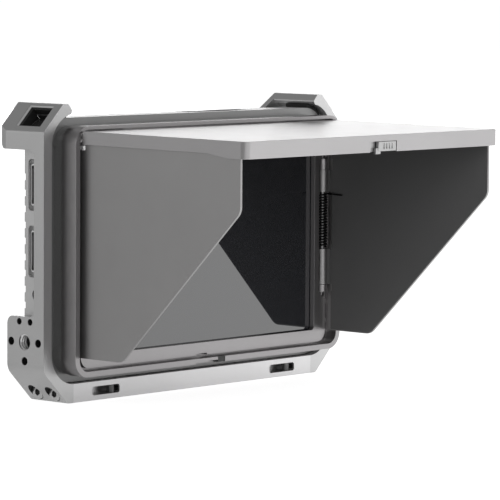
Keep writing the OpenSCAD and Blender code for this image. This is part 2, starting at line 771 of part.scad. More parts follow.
module backlight() {
    color("white") screen_plate(2, panel_back + seat, light_back);
}

// Steel frame that clamps the picture panel and backlight to the front housing.
module panel_frame() {
    sheet = 0.6;
    front = light_back + seat;
    tab_h = 4;
    half_h = active_h / 2 + 3;
    light_hole_x = active_x / 2;
    color("silver") difference() {
        union() {
            slab(active_x + 4, screen_z - half_h, screen_z + half_h, 2, front, front + sheet);
            for (z = bracket_z)
                slab(bracket_x + bracket_reach, z - tab_h, z + tab_h, 1, front, front + sheet);
        }
        bracket_bosses(1, light_back, front + 2);
        for (x = [-light_hole_x, light_hole_x]) translate([x, 0, 0])
            slab(20, screen_z - 22, screen_z + 22, 3, light_back, front + 2);
    }
}

module panel_screws() {
    head_h = 0.8;
    head_front = light_back + seat + 0.6;
    color("silver") for (x = [-bracket_x, bracket_x]) for (z = bracket_z)
        screw_y(x, z, 0.85, 1.7, head_h, light_back - 1.6, head_front + head_h);
}

module mainboard() {
    color("#1f5a3a") difference() {
        union() {
            box(board_x0, board_x1, board_front, board_back, board_step_z, board_z1);
            box(jack_back + 0.5, board_x1, board_front, board_back, board_z0, board_step_z + 1);
        }
        for (x = board_screw_x) for (z = board_screw_z) rod_y(x, z, 1, board_front - 1, board_back + 1);
        screw_posts(post_r + clear, board_front - 1, board_back + 1);
    }
    chip = 12;
    color("#222222") for (x = [-36, -14])
        box(x, x + chip, board_back, board_back + 1.2, board_step_z + chip, board_step_z + 2 * chip);
}

module board_screws() {
    head_h = 1;
    color("silver") for (x = board_screw_x) for (z = board_screw_z)
        mirror([0, 1, 0]) screw_y(x, z, 0.75, 1.7, head_h, -cavity_back + 1, -board_front + head_h);
}

module heat_sink() {
    fin_pitch = 4.4;
    fin_t = 1.6;
    x0 = -2;
    z0 = board_step_z + 6;
    z1 = board_z1 - 8;
    color("#2d2d2f") {
        box(x0, x0 + 6 * fin_pitch + fin_t, board_back + 0.1, board_back + 1.6, z0, z1);
        for (i = [0:6]) translate([x0 + i * fin_pitch, 0, 0])
            box(0, fin_t, board_back + 1.5, cavity_back - clear, z0, z1);
    }
}

// Video socket: metal shell with a tongue inside.
module video_socket(z) {
    wall = 0.35;
    depth = 11;
    color("silver") difference() {
        along_x(socket_x, socket_x + depth)
            round_rect(port_y - socket_w / 2 - wall, port_y + socket_w / 2 + wall,
                z - socket_h / 2 - wall, z + socket_h / 2 + wall, 0.6);
        along_x(socket_x - 1, socket_x + depth - 1.5)
            round_rect(port_y - socket_w / 2, port_y + socket_w / 2, z - socket_h / 2, z + socket_h / 2, 0.5);
    }
    color("#222222") box(socket_x + 1.2, socket_x + depth - 1, port_y - 0.5, port_y + 0.5,
        z - socket_h / 2 + 1.6, z + socket_h / 2 - 1.6);
}

module video_socket_upper() {
    video_socket(port_upper_z);
}

module video_socket_lower() {
    video_socket(port_lower_z);
}

module headphone_jack() {
    color("#222222") difference() {
        union() {
            rod_x(-jack_y, jack_z, jack_r + 0.5, -body_x + 0.4, -body_x + 4);
            box(-body_x + side_wall + 0.1, jack_back, -jack_y - 2.7, -jack_y + 2.7, jack_z - 3, jack_z + 3);
        }
        rod_x(-jack_y, jack_z, jack_r, -body_x, jack_back - 2);
    }
}

// Small board behind the buttons, with one switch under each.
module button_board() {
    half_w = 2.6;
    switch = 2;
    color("#1f5a3a")
        box(button_board_x - 1.2, button_board_x, -half_w, half_w, button_z[2] - 8, button_z[0] + 8);
    color("#222222") for (z = button_z) translate([button_board_x, button_y, z])
        box(-eps, 1.6, -switch, switch, -2.5, 2.5);
}

module push_button(z) {
    inside = body_x - side_wall;
    color("#6e6e70") {
        rod_x(button_y, z, button_r, inside - 1, body_x + 0.7);
        rod_x(button_y, z, button_r + 0.55, inside - 1.1, inside - 0.2);
    }
}

module power_button() {
    push_button(button_z[0]);
}

module menu_button() {
    push_button(button_z[1]);
}

module input_button() {
    push_button(button_z[2]);
}

module housing_screws() {
    color("silver") for (x = [-post_x, post_x]) for (z = post_z)
        screw_y(x, z, 1.2, 2.2, 1.6, -body_front - 2.5, body_back - 0.3);
}

// Plate with side rails that a slide-in battery hooks on to.
module battery_plate() {
    color("#2b2b2c") difference() {
        union() {
            slab(battery_x, battery_z, battery_z + battery_h, 3, body_back, body_back + 2.4);
            for (side = [-1, 1]) {
                box(side * (battery_x - 1.5) - 1.5, side * (battery_x - 1.5) + 1.5,
                    body_back + 2, battery_back, battery_z + 4, battery_z + battery_h - 6);
                for (z = [18, 46]) box(side * (battery_x - 3) - 3, side * (battery_x - 3) + 3,
                    battery_back - 1.6, battery_back, battery_z + z, battery_z + z + 10);
            }
        }
        along_y(body_back + 1, body_back + 3)
            round_rect(-8, 8, battery_z + battery_h - 16, battery_z + battery_h - 6, 1);
        release_space();
        for (x = [-battery_screw_x, battery_screw_x]) for (z = battery_screw_z) {
            rod_y(x, z, 1.05, body_back - 1, battery_back);
            rod_y(x, z, 1.9, body_back + 1.2, battery_back);
        }
    }
}

// Pocket for the release button, with room for its travel below.
module release_space() {
    box(-6, 6, body_back + 0.8, body_back + 3, battery_z + release_floor, battery_z + release_rest + 8);
}

module battery_plate_screws() {
    color("silver") for (x = [-battery_screw_x, battery_screw_x]) for (z = battery_screw_z)
        screw_y(x, z, 0.95, 1.7, 1, cavity_back + 0.3, body_back + 2.2);
}

module battery_contacts() {
    top = battery_z + battery_h;
    color("gold") for (x = [-5, 0, 5])
        box(x - 0.6, x + 0.6, body_back + 1, body_back + 2.2, top - 14, top - 8);
}

module release_springs() {
    color("silver") for (x = [-3.5, 3.5])
        rod_z(x, body_back + 1.6, 0.6, battery_z + release_floor + 0.1, battery_z + release_rest - 0.1);
}

module battery_release() {
    low = battery_z + release_rest;
    color("#5a5a5c") {
        box(-5.7, 5.7, body_back + 0.9, body_back + 2.3, low, low + 7.7);
        box(-3.5, 3.5, body_back + 2.2, body_back + 3.6, low + 1, low + 6);
    }
}

// End barrels of a flap hinge that stand on the frame, for an axis at that depth.
module frame_barrels(axis_y) {
    foot = 1.4;
    half_w = 1.8;
    ends = [[hinge_z0, hinge_z0 + low_end_h, hinge_z0 - foot],
        [hinge_z1 - top_end_h, hinge_z1, hinge_z1 + foot]];
    for (z = ends) {
        rod_z(flap_axis_x, axis_y, barrel_r, z[0], z[1]);
        box(flap_axis_x - half_w, flap_axis_x + half_w, axis_y, frame_back, min(z), max(z));
    }
}

// Ears that carry one lid hinge pin.
module lid_ears() {
    for (side = [-1, 1]) {
        x0 = lid_barrel_x + side * (lid_barrel_w / 2 + clear + lid_ear_w / 2) - lid_ear_w / 2;
        rod_x(lid_axis_y, lid_axis_z, lid_barrel_r, x0, x0 + lid_ear_w);
        box(x0, x0 + lid_ear_w, lid_axis_y, channel_y + eps, lid_axis_z - 1.9, lid_axis_z + 1.9);
    }
}

module hood_frame() {
    rim_x = frame_x - rim_t;
    rim_z0 = frame_z0 + rim_bottom_t;
    rim_z1 = frame_z1 - rim_top_t;
    recess_in = flap_axis_x - coil_r - wire_d / 2 - clear;
    recess_out = flap_axis_x + 4;
    hole_x = glass_x + 1;
    hole_h = glass_h / 2 + 1;
    face_r = frame_r - rim_t - 0.3;
    slot_z1 = frame_z1 - 2.4;
    color("#a5a3a4") difference() {
        union() {
            difference() {
                slab(frame_x, frame_z0, frame_z1, frame_r, frame_y, frame_back);
                slab(rim_x, rim_z0, rim_z1, frame_r - rim_t, frame_y - 1, platform_y);
                difference() {
                    slab(rim_x, rim_z0, rim_z1, frame_r - rim_t, frame_y - 1, channel_y);
                    slab(platform_x, platform_z0, platform_z1, face_r, platform_y, channel_y + 1);
                }
                slab(opening_x, opening_z0, opening_z1, 1.5, frame_y, frame_back + 1);
                slab(hole_x, screen_z - hole_h, screen_z + hole_h, 2.2, channel_y, frame_back + 1);
                both_sides()
                    box(recess_in, recess_out, frame_y, frame_back + 1, hinge_z0 - 0.4, hinge_z1 + 0.4);
            }
            frame_barrels(frame_y + right_axis_d);
            mirror([1, 0, 0]) frame_barrels(frame_y + left_axis_d);
            both_sides() lid_ears();
        }
        both_sides() rod_x(lid_axis_y, lid_axis_z, lid_pin_r,
            lid_barrel_x - lid_bore_reach, lid_barrel_x + lid_bore_reach);
        rod_z(flap_axis_x, frame_y + right_axis_d, pin_r, hinge_z0 - 2, hinge_z1 + 2);
        rod_z(-flap_axis_x, frame_y + left_axis_d, pin_r, hinge_z0 - 2, hinge_z1 + 2);
        for (x = [-frame_screw_x, frame_screw_x]) for (z = frame_screw_z) {
            rod_y(x, z, 0.85, channel_y - 1, frame_back + 1);
            rod_y(x, z, 1.45, channel_y - 1, channel_y + 0.9);
        }
        box(catch_x0, catch_x1, frame_y - 1, frame_y + catch_d, frame_z0 - 1, rim_z0 + eps);
        box(catch_x0 - 13, catch_x0, frame_y - 1, frame_y + catch_d, frame_z0 - 1, frame_z0 + 0.95);
        box(catch_x0 - 9.7, catch_x0 - 3.3, platform_y - 1, channel_y, platform_z0 - 1, platform_z0 + 0.7);
        box(-recess_in - eps, eps - opening_x, frame_y, platform_y + 0.9, leg_z - 0.9, leg_z + 0.9);
        along_y(frame_back - 1.4, frame_back + 1) round_rect(-40, 40, slot_z1 - 2.6, slot_z1, 1);
    }
}

module catch_block() {
    color("#2f2f31") box(catch_x0 + eps, catch_x1 - eps, frame_y + 0.1, frame_y + catch_d - eps,
        frame_z0, frame_z0 + rim_bottom_t);
}

module screen_gasket() {
    color("#1a1a1a") difference() {
        slab(glass_x + 0.6, glass_z0 - 0.6, glass_z0 + glass_h + 0.6, 1.8, channel_y, glass_front);
        slab(opening_x + 0.1, opening_z0 - 0.1, opening_z1 + 0.1, 1.5, channel_y - 1, glass_front + 1);
    }
}

module frame_screws() {
    color("silver") for (x = [-frame_screw_x, frame_screw_x]) for (z = frame_screw_z)
        mirror([0, 1, 0]) screw_y(x, z, 0.8, 1.4, 0.7, -frame_back - 1.5, -channel_y - 0.1);
}

// Small lugs that the lid's side lips come down on.
module lid_stops() {
    low = flap_top - 2.3;
    high = flap_top - 0.8;
    color("#c8c8c8") both_sides() {
        box(platform_x + 0.1, frame_x - rim_t - eps, frame_y + 0.1, channel_y, low, high);
        box(platform_x - 1.9, platform_x + 0.2, frame_y + 0.1, platform_y - seat, low, high);
    }
}

// Turns what belongs to the lid by its droop, about the hinge axis.
module drooped() {
    translate([0, lid_axis_y, lid_axis_z]) rotate([lid_droop, 0, 0]) translate([0, -lid_axis_y, -lid_axis_z])
        children();
}

// Plan of the lid, drawn smaller by inset.
module lid_plan(inset, back) {
    r = max(0.5, lid_r - inset);
    polygon(rounded([[-lid_x + inset, lid_front + inset, r], [lid_x - inset, lid_front + inset, r],
        [lid_x - inset, back, 0], [-lid_x + inset, back, 0]]));
}

// The lid's outer corners end in front of the frame; its middle reaches back under the frame's rim.
module lid() {
    lid_back = frame_y - 0.8;
    tongue_x = platform_x - 3;
    low = lid_top - lip_h;
    side_low = lid_top - side_lip_h;
    taper = [9.2, 19.4];
    color("#dcdcdd") drooped() difference() {
        union() {
            difference() {
                translate([0, 0, low]) linear_extrude(height = lip_h) lid_plan(0, lid_back);
                translate([0, 0, low - 1]) linear_extrude(height = lid_under - low + 1)
                    lid_plan(lip_t, lid_back + 1);
                along_x(-lid_x - 1, lid_x + 1) polygon([[lid_front + taper[0], low - 1],
                    [lid_front + taper[0], low], [lid_front + taper[1], side_low],
                    [lid_back + 1, side_low], [lid_back + 1, low - 1]]);
            }
            both_sides() rod_x(lid_axis_y, lid_axis_z, lid_barrel_r,
                lid_barrel_x - lid_barrel_w / 2, lid_barrel_x + lid_barrel_w / 2);
            box(-tongue_x, tongue_x, lid_back - 1, lid_axis_y - 0.2, lid_under, lid_top);
        }
        both_sides() {
            rod_x(lid_axis_y, lid_axis_z, lid_pin_r + pin_gap,
                lid_barrel_x - lid_bore_reach, lid_barrel_x + lid_bore_reach);
            for (side = [-1, 1]) {
                x0 = lid_barrel_x + side * (lid_barrel_w / 2 + clear + lid_ear_w / 2);
                box(x0 - lid_ear_w / 2 - clear, x0 + lid_ear_w / 2 + clear, lid_axis_y - lid_barrel_r - 0.5,
                    lid_back + 3, lid_axis_z - 3, lid_top + 1);
            }
        }
        box(latch_x - latch_space, latch_x + latch_w + clear, lid_front - 1, lid_front + lip_t + 0.5,
            low - 1, latch_top + 0.2);
    }
}

module lid_film() {
    film_x = lid_x - lip_t - 0.4;
    front = lid_front + lip_t + latch_case_d + 0.4;
    color("#2b2b2d") drooped() box(-film_x, film_x, front, frame_y - 3, lid_under - film_t, lid_under);
}

module lid_pins() {
    half = lid_barrel_w / 2 + clear + lid_ear_w;
    color("silver") both_sides()
        rod_x(lid_axis_y, lid_axis_z, lid_pin_r, lid_barrel_x - half, lid_barrel_x + half);
}

// Housing behind the front lip, with a guide for the latch and a channel for its spring.
module latch_case() {
    back = lid_front + lip_t + latch_case_d;
    x0 = latch_x - latch_space;
    x1 = latch_x + latch_w + clear;
    guide_top = latch_top + 0.2;
    wall = 0.9;
    color("#8a8889") drooped() difference() {
        box(x0 - 1.6, latch_x + latch_w + 1.6, lid_front + lip_t, back, latch_bottom - 0.2, lid_under);
        box(x0, x1, lid_front, lid_front + lip_t + 0.7, latch_bottom - 1, guide_top);
        box(x0, x1, lid_front + lip_t + 1.5, back - wall, latch_foot, guide_top);
        box(latch_x + latch_body_x - latch_travel - clear, x1, lid_front, back - wall, latch_foot, guide_top);
    }
}

// Thumb tab in front, guided body behind it, and the hook that the catch block holds.
module latch_slider() {
    tab_back = lid_front + lip_t + 0.5;
    slide_back = lid_front + lip_t + latch_case_d - 1.2;
    x1 = latch_x + latch_w;
    color("#bdbbbc") drooped() difference() {
        union() {
            box(latch_x, x1, lid_front + 0.15, tab_back, latch_bottom, latch_top);
            box(latch_x + latch_body_x, x1, tab_back - eps, slide_back, latch_foot + 0.2, latch_top);
            box(latch_x - 1.2, latch_x + 1.6, lid_front + 0.4, tab_back,
                latch_bottom - 1.1, latch_bottom + 1.2);
        }
        for (i = [0:3]) box(latch_x + 3 + i * 1.6, latch_x + 3.6 + i * 1.6, lid_front, lid_front + 0.5,
            latch_bottom + 0.8, latch_top - 0.6);
    }
}

// Small push spring between the case's end and the latch.
module latch_spring() {
    mid_y = lid_front + lip_t + latch_case_d / 2 + 0.3;
    mid_z = (latch_foot + latch_top) / 2 + 0.1;
    color("silver") drooped()
        rod_x(mid_y, mid_z, 0.8, latch_x - latch_space + 0.1, latch_x + latch_body_x - 0.1);
}

// Side view of a flap, drawn smaller by inset.
module flap_outline(inset, back) {
    lower = flap_corner_z + inset * 0.41;
    polygon(rounded([[flap_front + inset, flap_top - inset, 1], [flap_front + inset, lower, 5],
        [flap_front + flap_slant + inset * 0.41, flap_corner_z - flap_slant + inset, 5],
        [back, flap_bottom + inset, 0.5], [back, flap_top - 2.6, 0], [frame_y - 1, flap_top - 2.6, 0],
        [frame_y - 1, flap_top - inset, 0]]));
}

// Right-hand flap, for a hinge axis at that depth. A slot along each knuckle faces the other flap.
module flap(axis_y) {
    knuckles = [[hinge_z0 + low_end_h + end_gap, coil_z0 - 2 * end_gap],
        [coil_z1 + end_gap, hinge_z1 - top_end_h - end_gap]];
    slot_half = knuckle_slot_w / 2;
    difference() {
        union() {
            along_x(flap_inner, flap_outer) flap_outline(0, axis_y - 1.4);
            for (z = knuckles) {
                rod_z(flap_axis_x, axis_y, barrel_r, z[0], z[1]);
                box(flap_axis_x, flap_outer, axis_y - 1.9, axis_y + 1, z[0], z[1]);
            }
        }
        rod_z(flap_axis_x, axis_y, pin_r + pin_gap, hinge_z0, hinge_z1);
        for (z = knuckles) box(flap_axis_x - barrel_r - 1, flap_axis_x - pin_r / 2,
            axis_y - slot_half, axis_y + slot_half, z[0] + 1.4, z[1] - 2);
    }
}

module film(axis_y) {
    difference() {
        along_x(flap_inner - film_t, flap_inner) flap_outline(0.4, axis_y - 3);
        box(flap_inner - 1, flap_inner + 1, axis_y - 3.4, axis_y, hinge_z0, hinge_z1);
    }
}

// Sweeps a six-sided tube of that diameter along a path.
function ring_axes(path, i) = let (
        d = unit(path[min(i + 1, len(path) - 1)] - path[max(i - 1, 0)]),
        side = unit(cross(d, abs(d[2]) > 0.95 ? [1, 0, 0] : [0, 0, 1])))
    [side, cross(side, d)];
module tube(path, d) {
    sides = 6;
    last = len(path) - 1;
    turn = 360 / sides;
    points = [for (i = [0:last]) let (axes = ring_axes(path, i)) for (k = [0:sides - 1])
        path[i] + d / 2 * (cos(turn * k) * axes[0] + sin(turn * k) * axes[1])];
    walls = [for (i = [0:last - 1]) for (k = [0:sides - 1])
        let (a = i * sides + k, b = i * sides + (k + 1) % sides)
        each [[a, a + sides, b], [b, a + sides, b + sides]]];
    end_ring = last * sides;
    ends = [for (k = [1:sides - 2]) each [[0, k, k + 1], [end_ring, end_ring + k + 1, end_ring + k]]];
    polyhedron(points = points, faces = concat(walls, ends), convexity = 10);
}

// Spring round a flap's pin, for a hinge axis at that depth.
module spring_at(axis_y) {
    translate([flap_axis_x, axis_y, 0]) tube(spring_path, wire_d);
}

module flap_right() {
    color("#7b797a") flap(frame_y + right_axis_d);
}

module flap_left() {
    color("#7b797a") mirror([1, 0, 0]) flap(frame_y + left_axis_d);
}

module flap_film_right() {
    color("#343436") film(frame_y + right_axis_d);
}

module flap_film_left() {
    color("#343436") mirror([1, 0, 0]) film(frame_y + left_axis_d);
}

module flap_pin_right() {
    color("silver") rod_z(flap_axis_x, frame_y + right_axis_d, pin_r, hinge_z0 - 0.3, hinge_z1 + 0.3);
}

module flap_pin_left() {
    color("silver") rod_z(-flap_axis_x, frame_y + left_axis_d, pin_r, hinge_z0 - 0.3, hinge_z1 + 0.3);
}

module flap_spring_right() {
    color("#222222") spring_at(frame_y + right_axis_d);
}

module flap_spring_left() {
    color("#222222") mirror([1, 0, 0]) spring_at(frame_y + left_axis_d);
}

side_plate_left();
side_plate_right();
base_bar();
corner_screws();
bar_pins();
hook_pads();
clamp_screws();
front_housing();
rear_housing();
cover_glass();
picture_panel();
backlight();
panel_frame();
panel_screws();
mainboard();
board_screws();
heat_sink();
video_socket_upper();
video_socket_lower();
headphone_jack();
button_board();
power_button();
menu_button();
input_button();
housing_screws();
battery_plate();
battery_plate_screws();
battery_contacts();
battery_release();
release_springs();
hood_frame();
screen_gasket();
frame_screws();
catch_block();
lid_stops();
lid();
lid_film();
lid_pins();
latch_case();
latch_slider();
latch_spring();
flap_left();
flap_right();
flap_film_left();
flap_film_right();
flap_pin_left();
flap_pin_right();
flap_spring_left();
flap_spring_right();
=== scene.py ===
"""Looks of a camera field monitor with a fold-out sun hood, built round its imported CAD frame.

Lengths are in metres in the frame of the CAD model: +X is the viewer's right, the screen faces -Y, +Z is up.
"""

import json
import logging
import math
from dataclasses import dataclass, replace
from enum import Enum

import bmesh
import bpy
from mathutils import Matrix, Vector


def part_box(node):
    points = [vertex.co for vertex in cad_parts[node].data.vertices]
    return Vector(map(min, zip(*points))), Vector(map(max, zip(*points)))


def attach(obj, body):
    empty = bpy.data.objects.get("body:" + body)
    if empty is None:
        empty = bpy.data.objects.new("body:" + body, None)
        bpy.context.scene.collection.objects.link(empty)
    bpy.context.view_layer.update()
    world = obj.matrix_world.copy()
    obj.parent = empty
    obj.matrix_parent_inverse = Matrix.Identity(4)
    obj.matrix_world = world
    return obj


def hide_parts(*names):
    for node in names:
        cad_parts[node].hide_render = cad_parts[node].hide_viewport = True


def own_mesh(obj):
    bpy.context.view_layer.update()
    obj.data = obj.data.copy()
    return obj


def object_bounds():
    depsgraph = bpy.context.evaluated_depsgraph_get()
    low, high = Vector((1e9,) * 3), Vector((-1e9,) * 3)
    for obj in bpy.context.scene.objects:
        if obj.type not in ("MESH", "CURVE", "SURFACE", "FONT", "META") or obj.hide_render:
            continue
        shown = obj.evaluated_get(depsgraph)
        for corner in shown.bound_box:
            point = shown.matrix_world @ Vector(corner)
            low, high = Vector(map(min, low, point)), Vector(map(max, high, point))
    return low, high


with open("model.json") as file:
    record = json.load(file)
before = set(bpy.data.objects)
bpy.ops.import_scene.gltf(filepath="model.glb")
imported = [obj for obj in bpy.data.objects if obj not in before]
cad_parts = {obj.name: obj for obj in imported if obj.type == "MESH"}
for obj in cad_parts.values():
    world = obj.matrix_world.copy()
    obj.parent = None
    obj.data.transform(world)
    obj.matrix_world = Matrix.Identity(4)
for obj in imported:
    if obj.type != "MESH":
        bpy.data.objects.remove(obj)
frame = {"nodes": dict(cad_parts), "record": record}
CAD_BOX = [list(corner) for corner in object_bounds()]

LOG = logging.getLogger("monitor")
MM = 0.001
Colour = tuple[float, float, float]
Point = tuple[float, float, float]

# The curve from a screen grey to its linear value
SCREEN_WHITE = 255
SCREEN_OFFSET = 0.055
SCREEN_POWER = 2.4

# How a machined copy of a CAD node is cleaned before its edges are broken
WELD_GAP = 2e-6
FLAT_ANGLE = math.radians(0.6)
BREAK_SEGMENTS = 2


class Grain(Enum):
    """How the fine relief of a finish runs."""

    BLASTED = "blasted"
    BRUSHED = "brushed"
    MOULDED = "moulded"
    SMOOTH = "smooth"


class Side(Enum):
    """Side of the monitor, as its viewer sees it, with the sign of X there."""

    LEFT = -1
    RIGHT = 1

    @property
    def tag(self) -> str:
        """Return the side's name, as the names of pieces hold it."""
        return self.name.lower()


def linear(grey: float) -> Colour:
    """Work out the linear colour of a screen grey.

    Args:
        grey: Screen value from 11 to 255, above the curve's straight foot.

    Returns:
        The linear red, green and blue.
    """
    value = ((grey / SCREEN_WHITE + SCREEN_OFFSET) / (1 + SCREEN_OFFSET)) ** SCREEN_POWER
    return value, value, value


@dataclass(frozen=True)
class Finish:
    """Procedural surface with fine relief, drifting colour and a lighter twin that paints a highlight on
    broken edges.

    Attributes:
        name: Its name, before the ending that sets it apart from the frame's own materials.
        colour: Its linear colour.
        roughness: Its mean roughness.
        metallic: How far it is metal.
        grain: How its relief runs.
        grain_size: Size of the relief's features.
        relief: Strength of the relief.
        drift: Share by which the colour drifts to either side.
        edge_light: Share by which broken edges are lighter, as painted highlight.
        coat: Weight of a clear coat.
        specular: Strength of plain mirroring.
        coat_roughness: Most roughness of the clear coat.
        brushing: Share of the relief's frequency along X, Y and Z where it's brushed.
        relief_height: Height of the relief, as a share of its grain size.
        soft_detail: Finer layers of a moulded relief.
        crisp_detail: Finer layers of a metal's relief.
        patch_size: Size of the patches of drifting colour.
        patch_detail: Their finer layers.
        smear_size: Size of the smears of drifting roughness.
        smear_detail: Their finer layers.
        smear: Share by which the roughness drifts to either side.
        edge_lift: Grey added to broken edges as painted highlight.
        edge_white: Lightest that the painted highlight of a broken edge gets.
    """

    name: str
    colour: Colour
    roughness: float = 0.45
    metallic: float = 0.0
    grain: Grain = Grain.SMOOTH
    grain_size: float = 0.00025
    relief: float = 0.15
    drift: float = 0.05
    edge_light: float = 0.0
    coat: float = 0.0
    specular: float = 0.5
    coat_roughness: float = 0.08
    brushing: Point = (0.02, 1.0, 1.0)
    relief_height: float = 0.3
    soft_detail: int = 2
    crisp_detail: int = 5
    patch_size: float = 0.03
    patch_detail: int = 3
    smear_size: float = 0.008
    smear_detail: int = 4
    smear: float = 0.08
    edge_lift: float = 0.06
    edge_white: float = 0.95

    def material(self) -> bpy.types.Material:
        """Make the material, or return it if it's there already.

        Returns:
            The node material.
        """
        own_name = self.name + "_finish"
        known = bpy.data.materials.get(own_name)
        if known:
            return known
        material = bpy.data.materials.new(own_name)
        material.use_nodes = True
        tree = material.node_tree
        shader = tree.nodes["Principled BSDF"]
        shader.inputs["Metallic"].default_value = self.metallic
        shader.inputs["Specular IOR Level"].default_value = self.specular
        shader.inputs["Coat Weight"].default_value = self.coat
        shader.inputs["Coat Roughness"].default_value = min(self.coat_roughness, self.roughness)
        place = tree.nodes.new("ShaderNodeNewGeometry").outputs["Position"]
        self._paint(tree, shader, place)
        self._relieve(tree, shader, place)
        return material

    def edge(self) -> "Finish":
        """Return the lighter finish of this surface's broken edges, a painted highlight."""
        light = tuple(min(self.edge_white, c * (1 + self.edge_light) + self.edge_lift) for c in self.colour)
        return replace(self, name=self.name + "_edge", colour=light, edge_light=0.0)

    def _noise(self, tree: bpy.types.NodeTree, place: bpy.types.NodeSocket, size: float, detail: float,
               stretch: Point = (1, 1, 1)) -> bpy.types.NodeSocket:
        """Add a noise texture of that feature size.

        Args:
            tree: The material's node tree.
            place: Socket with the point being shaded.
            size: Size of the noise's features.
            detail: How many finer layers it has.
            stretch: Share of the frequency along each axis.

        Returns:
            The noise's value socket.
        """
        mapping = tree.nodes.new("ShaderNodeMapping")
        mapping.inputs["Scale"].default_value = stretch
        tree.links.new(place, mapping.inputs["Vector"])
        noise = tree.nodes.new("ShaderNodeTexNoise")
        noise.inputs["Scale"].default_value = 1 / size
        noise.inputs["Detail"].default_value = detail
        tree.links.new(mapping.outputs["Vector"], noise.inputs["Vector"])
        return noise.outputs["Fac"]

    def _paint(self, tree: bpy.types.NodeTree, shader: bpy.types.Node, place: bpy.types.NodeSocket) -> None:
        """Let the colour and the roughness drift a little.

        Args:
            tree: The material's node tree.
            shader: Its main shader.
            place: Socket with the point being shaded.
        """
        dark = [c * (1 - self.drift) for c in self.colour] + [1]
        light = [min(1, c * (1 + self.drift)) for c in self.colour] + [1]
        patches = self._noise(tree, place, self.patch_size, self.patch_detail)
        mix = tree.nodes.new("ShaderNodeMix")
        mix.data_type = "RGBA"
        mix.inputs["A"].default_value = dark
        mix.inputs["B"].default_value = light
        tree.links.new(patches, mix.inputs["Factor"])
        tree.links.new(mix.outputs["Result"], shader.inputs["Base Color"])
        ramp = tree.nodes.new("ShaderNodeMapRange")
        ramp.inputs["To Min"].default_value = self.roughness * (1 - self.smear)
        ramp.inputs["To Max"].default_value = min(1, self.roughness * (1 + self.smear))
        tree.links.new(self._noise(tree, place, self.smear_size, self.smear_detail), ramp.inputs["Value"])
        tree.links.new(ramp.outputs["Result"], shader.inputs["Roughness"])

    def _relieve(self, tree: bpy.types.NodeTree, shader: bpy.types.Node, place: bpy.types.NodeSocket) -> None:
        """Add the fine relief of the grain.

        Args:
            tree: The material's node tree.
            shader: Its main shader.
            place: Socket with the point being shaded.
        """
        if self.grain is Grain.SMOOTH:
            return
        stretch = self.brushing if self.grain is Grain.BRUSHED else (1, 1, 1)
        detail = self.soft_detail if self.grain is Grain.MOULDED else self.crisp_detail
        bump = tree.nodes.new("ShaderNodeBump")
        bump.inputs["Strength"].default_value = self.relief
        bump.inputs["Distance"].default_value = self.grain_size * self.relief_height
        tree.links.new(self._noise(tree, place, self.grain_size, detail, stretch), bump.inputs["Height"])
        tree.links.new(bump.outputs["Normal"], shader.inputs["Normal"])


# edge_light sets how strongly each finish paints a highlight on its broken edges.
CAGE = Finish("cage_metal", (0.58, 0.58, 0.58), 0.36, 0.92, Grain.BLASTED, relief=0.25, edge_light=0.6)
BAR = Finish("bar_metal", (0.68, 0.675, 0.68), 0.34, 0.92, Grain.BRUSHED, relief=0.2, edge_light=0.4)
HOOD = Finish("hood_metal", (0.34, 0.33, 0.334), 0.3, 0.85, Grain.BLASTED, relief=0.15, edge_light=0.8)
LID = Finish("lid_metal", (0.42, 0.412, 0.416), 0.34, 0.9, Grain.BLASTED, relief=0.1, edge_light=0.2)
FLAP = Finish("flap_metal", (0.37, 0.365, 0.365), 0.4, 0.88, Grain.BLASTED, relief=0.12, edge_light=0.6)
LATCH = Finish("latch_metal", (0.45, 0.45, 0.45), 0.36, 0.9, Grain.BLASTED, relief=0.15)
FILM = Finish("dark_film", linear(108), 0.55, 0.0, Grain.MOULDED, grain_size=0.0003, relief=0.12)
FRONT_SHELL = Finish("front_shell", linear(140), 0.3, 0.5, Grain.MOULDED, relief=0.05)
REAR_SHELL = Finish("rear_shell", (0.66, 0.66, 0.66), 0.36, 0.7, Grain.BLASTED, relief=0.2)
BLACK_PLASTIC = Finish("battery_plastic", linear(44), 0.55, 0.0, Grain.MOULDED, grain_size=0.0004,
                       relief=0.25)
GREY_PLASTIC = Finish("release_plastic", linear(110), 0.5, 0.0, Grain.MOULDED, relief=0.2)
BUTTON = Finish("button_metal", linear(140), 0.35, 0.7, Grain.BLASTED, relief=0.15)
SCREW = Finish("screw_steel", linear(200), 0.28, 0.95, drift=0.08)
PIN = Finish("pin_steel", linear(120), 0.3, 1.0)
WIRE = Finish("spring_steel", linear(40), 0.3, 0.8, drift=0.1)
PLAIN_WIRE = Finish("plain_spring", linear(180), 0.3, 0.9)
RUBBER = Finish("rubber", linear(38), 0.8, 0.0, Grain.MOULDED, grain_size=0.0005, relief=0.2)
GLASS = Finish("screen_glass", (0.018, 0.019, 0.025), 0.012, 0.0, specular=1.0, coat=1.0, drift=0.02)
PANEL = Finish("panel", linear(26), 0.2)
DIFFUSER = Finish("diffuser", linear(220), 0.7, drift=0.02)
BOARD = Finish("circuit_board", (0.01, 0.09, 0.035), 0.35, 0.0, Grain.MOULDED, grain_size=0.001, relief=0.1)
SINK = Finish("heat_sink_metal", linear(60), 0.4, 0.6, Grain.BLASTED)
SOCKET = Finish("socket_shell", linear(190), 0.25, 0.95, drift=0.06)
JACK = Finish("jack_plastic", linear(30), 0.4)
GOLD = Finish("contact_gold", (0.75, 0.5, 0.16), 0.22, 1.0, drift=0.06)
CATCH = Finish("catch_plastic", linear(46), 0.4)
# Painted shade on the body's top corners, seen inside the hooks.
CORNER_SHADE = Finish("corner_shade", linear(70), 0.22, 0.4, Grain.MOULDED, relief=0.05)
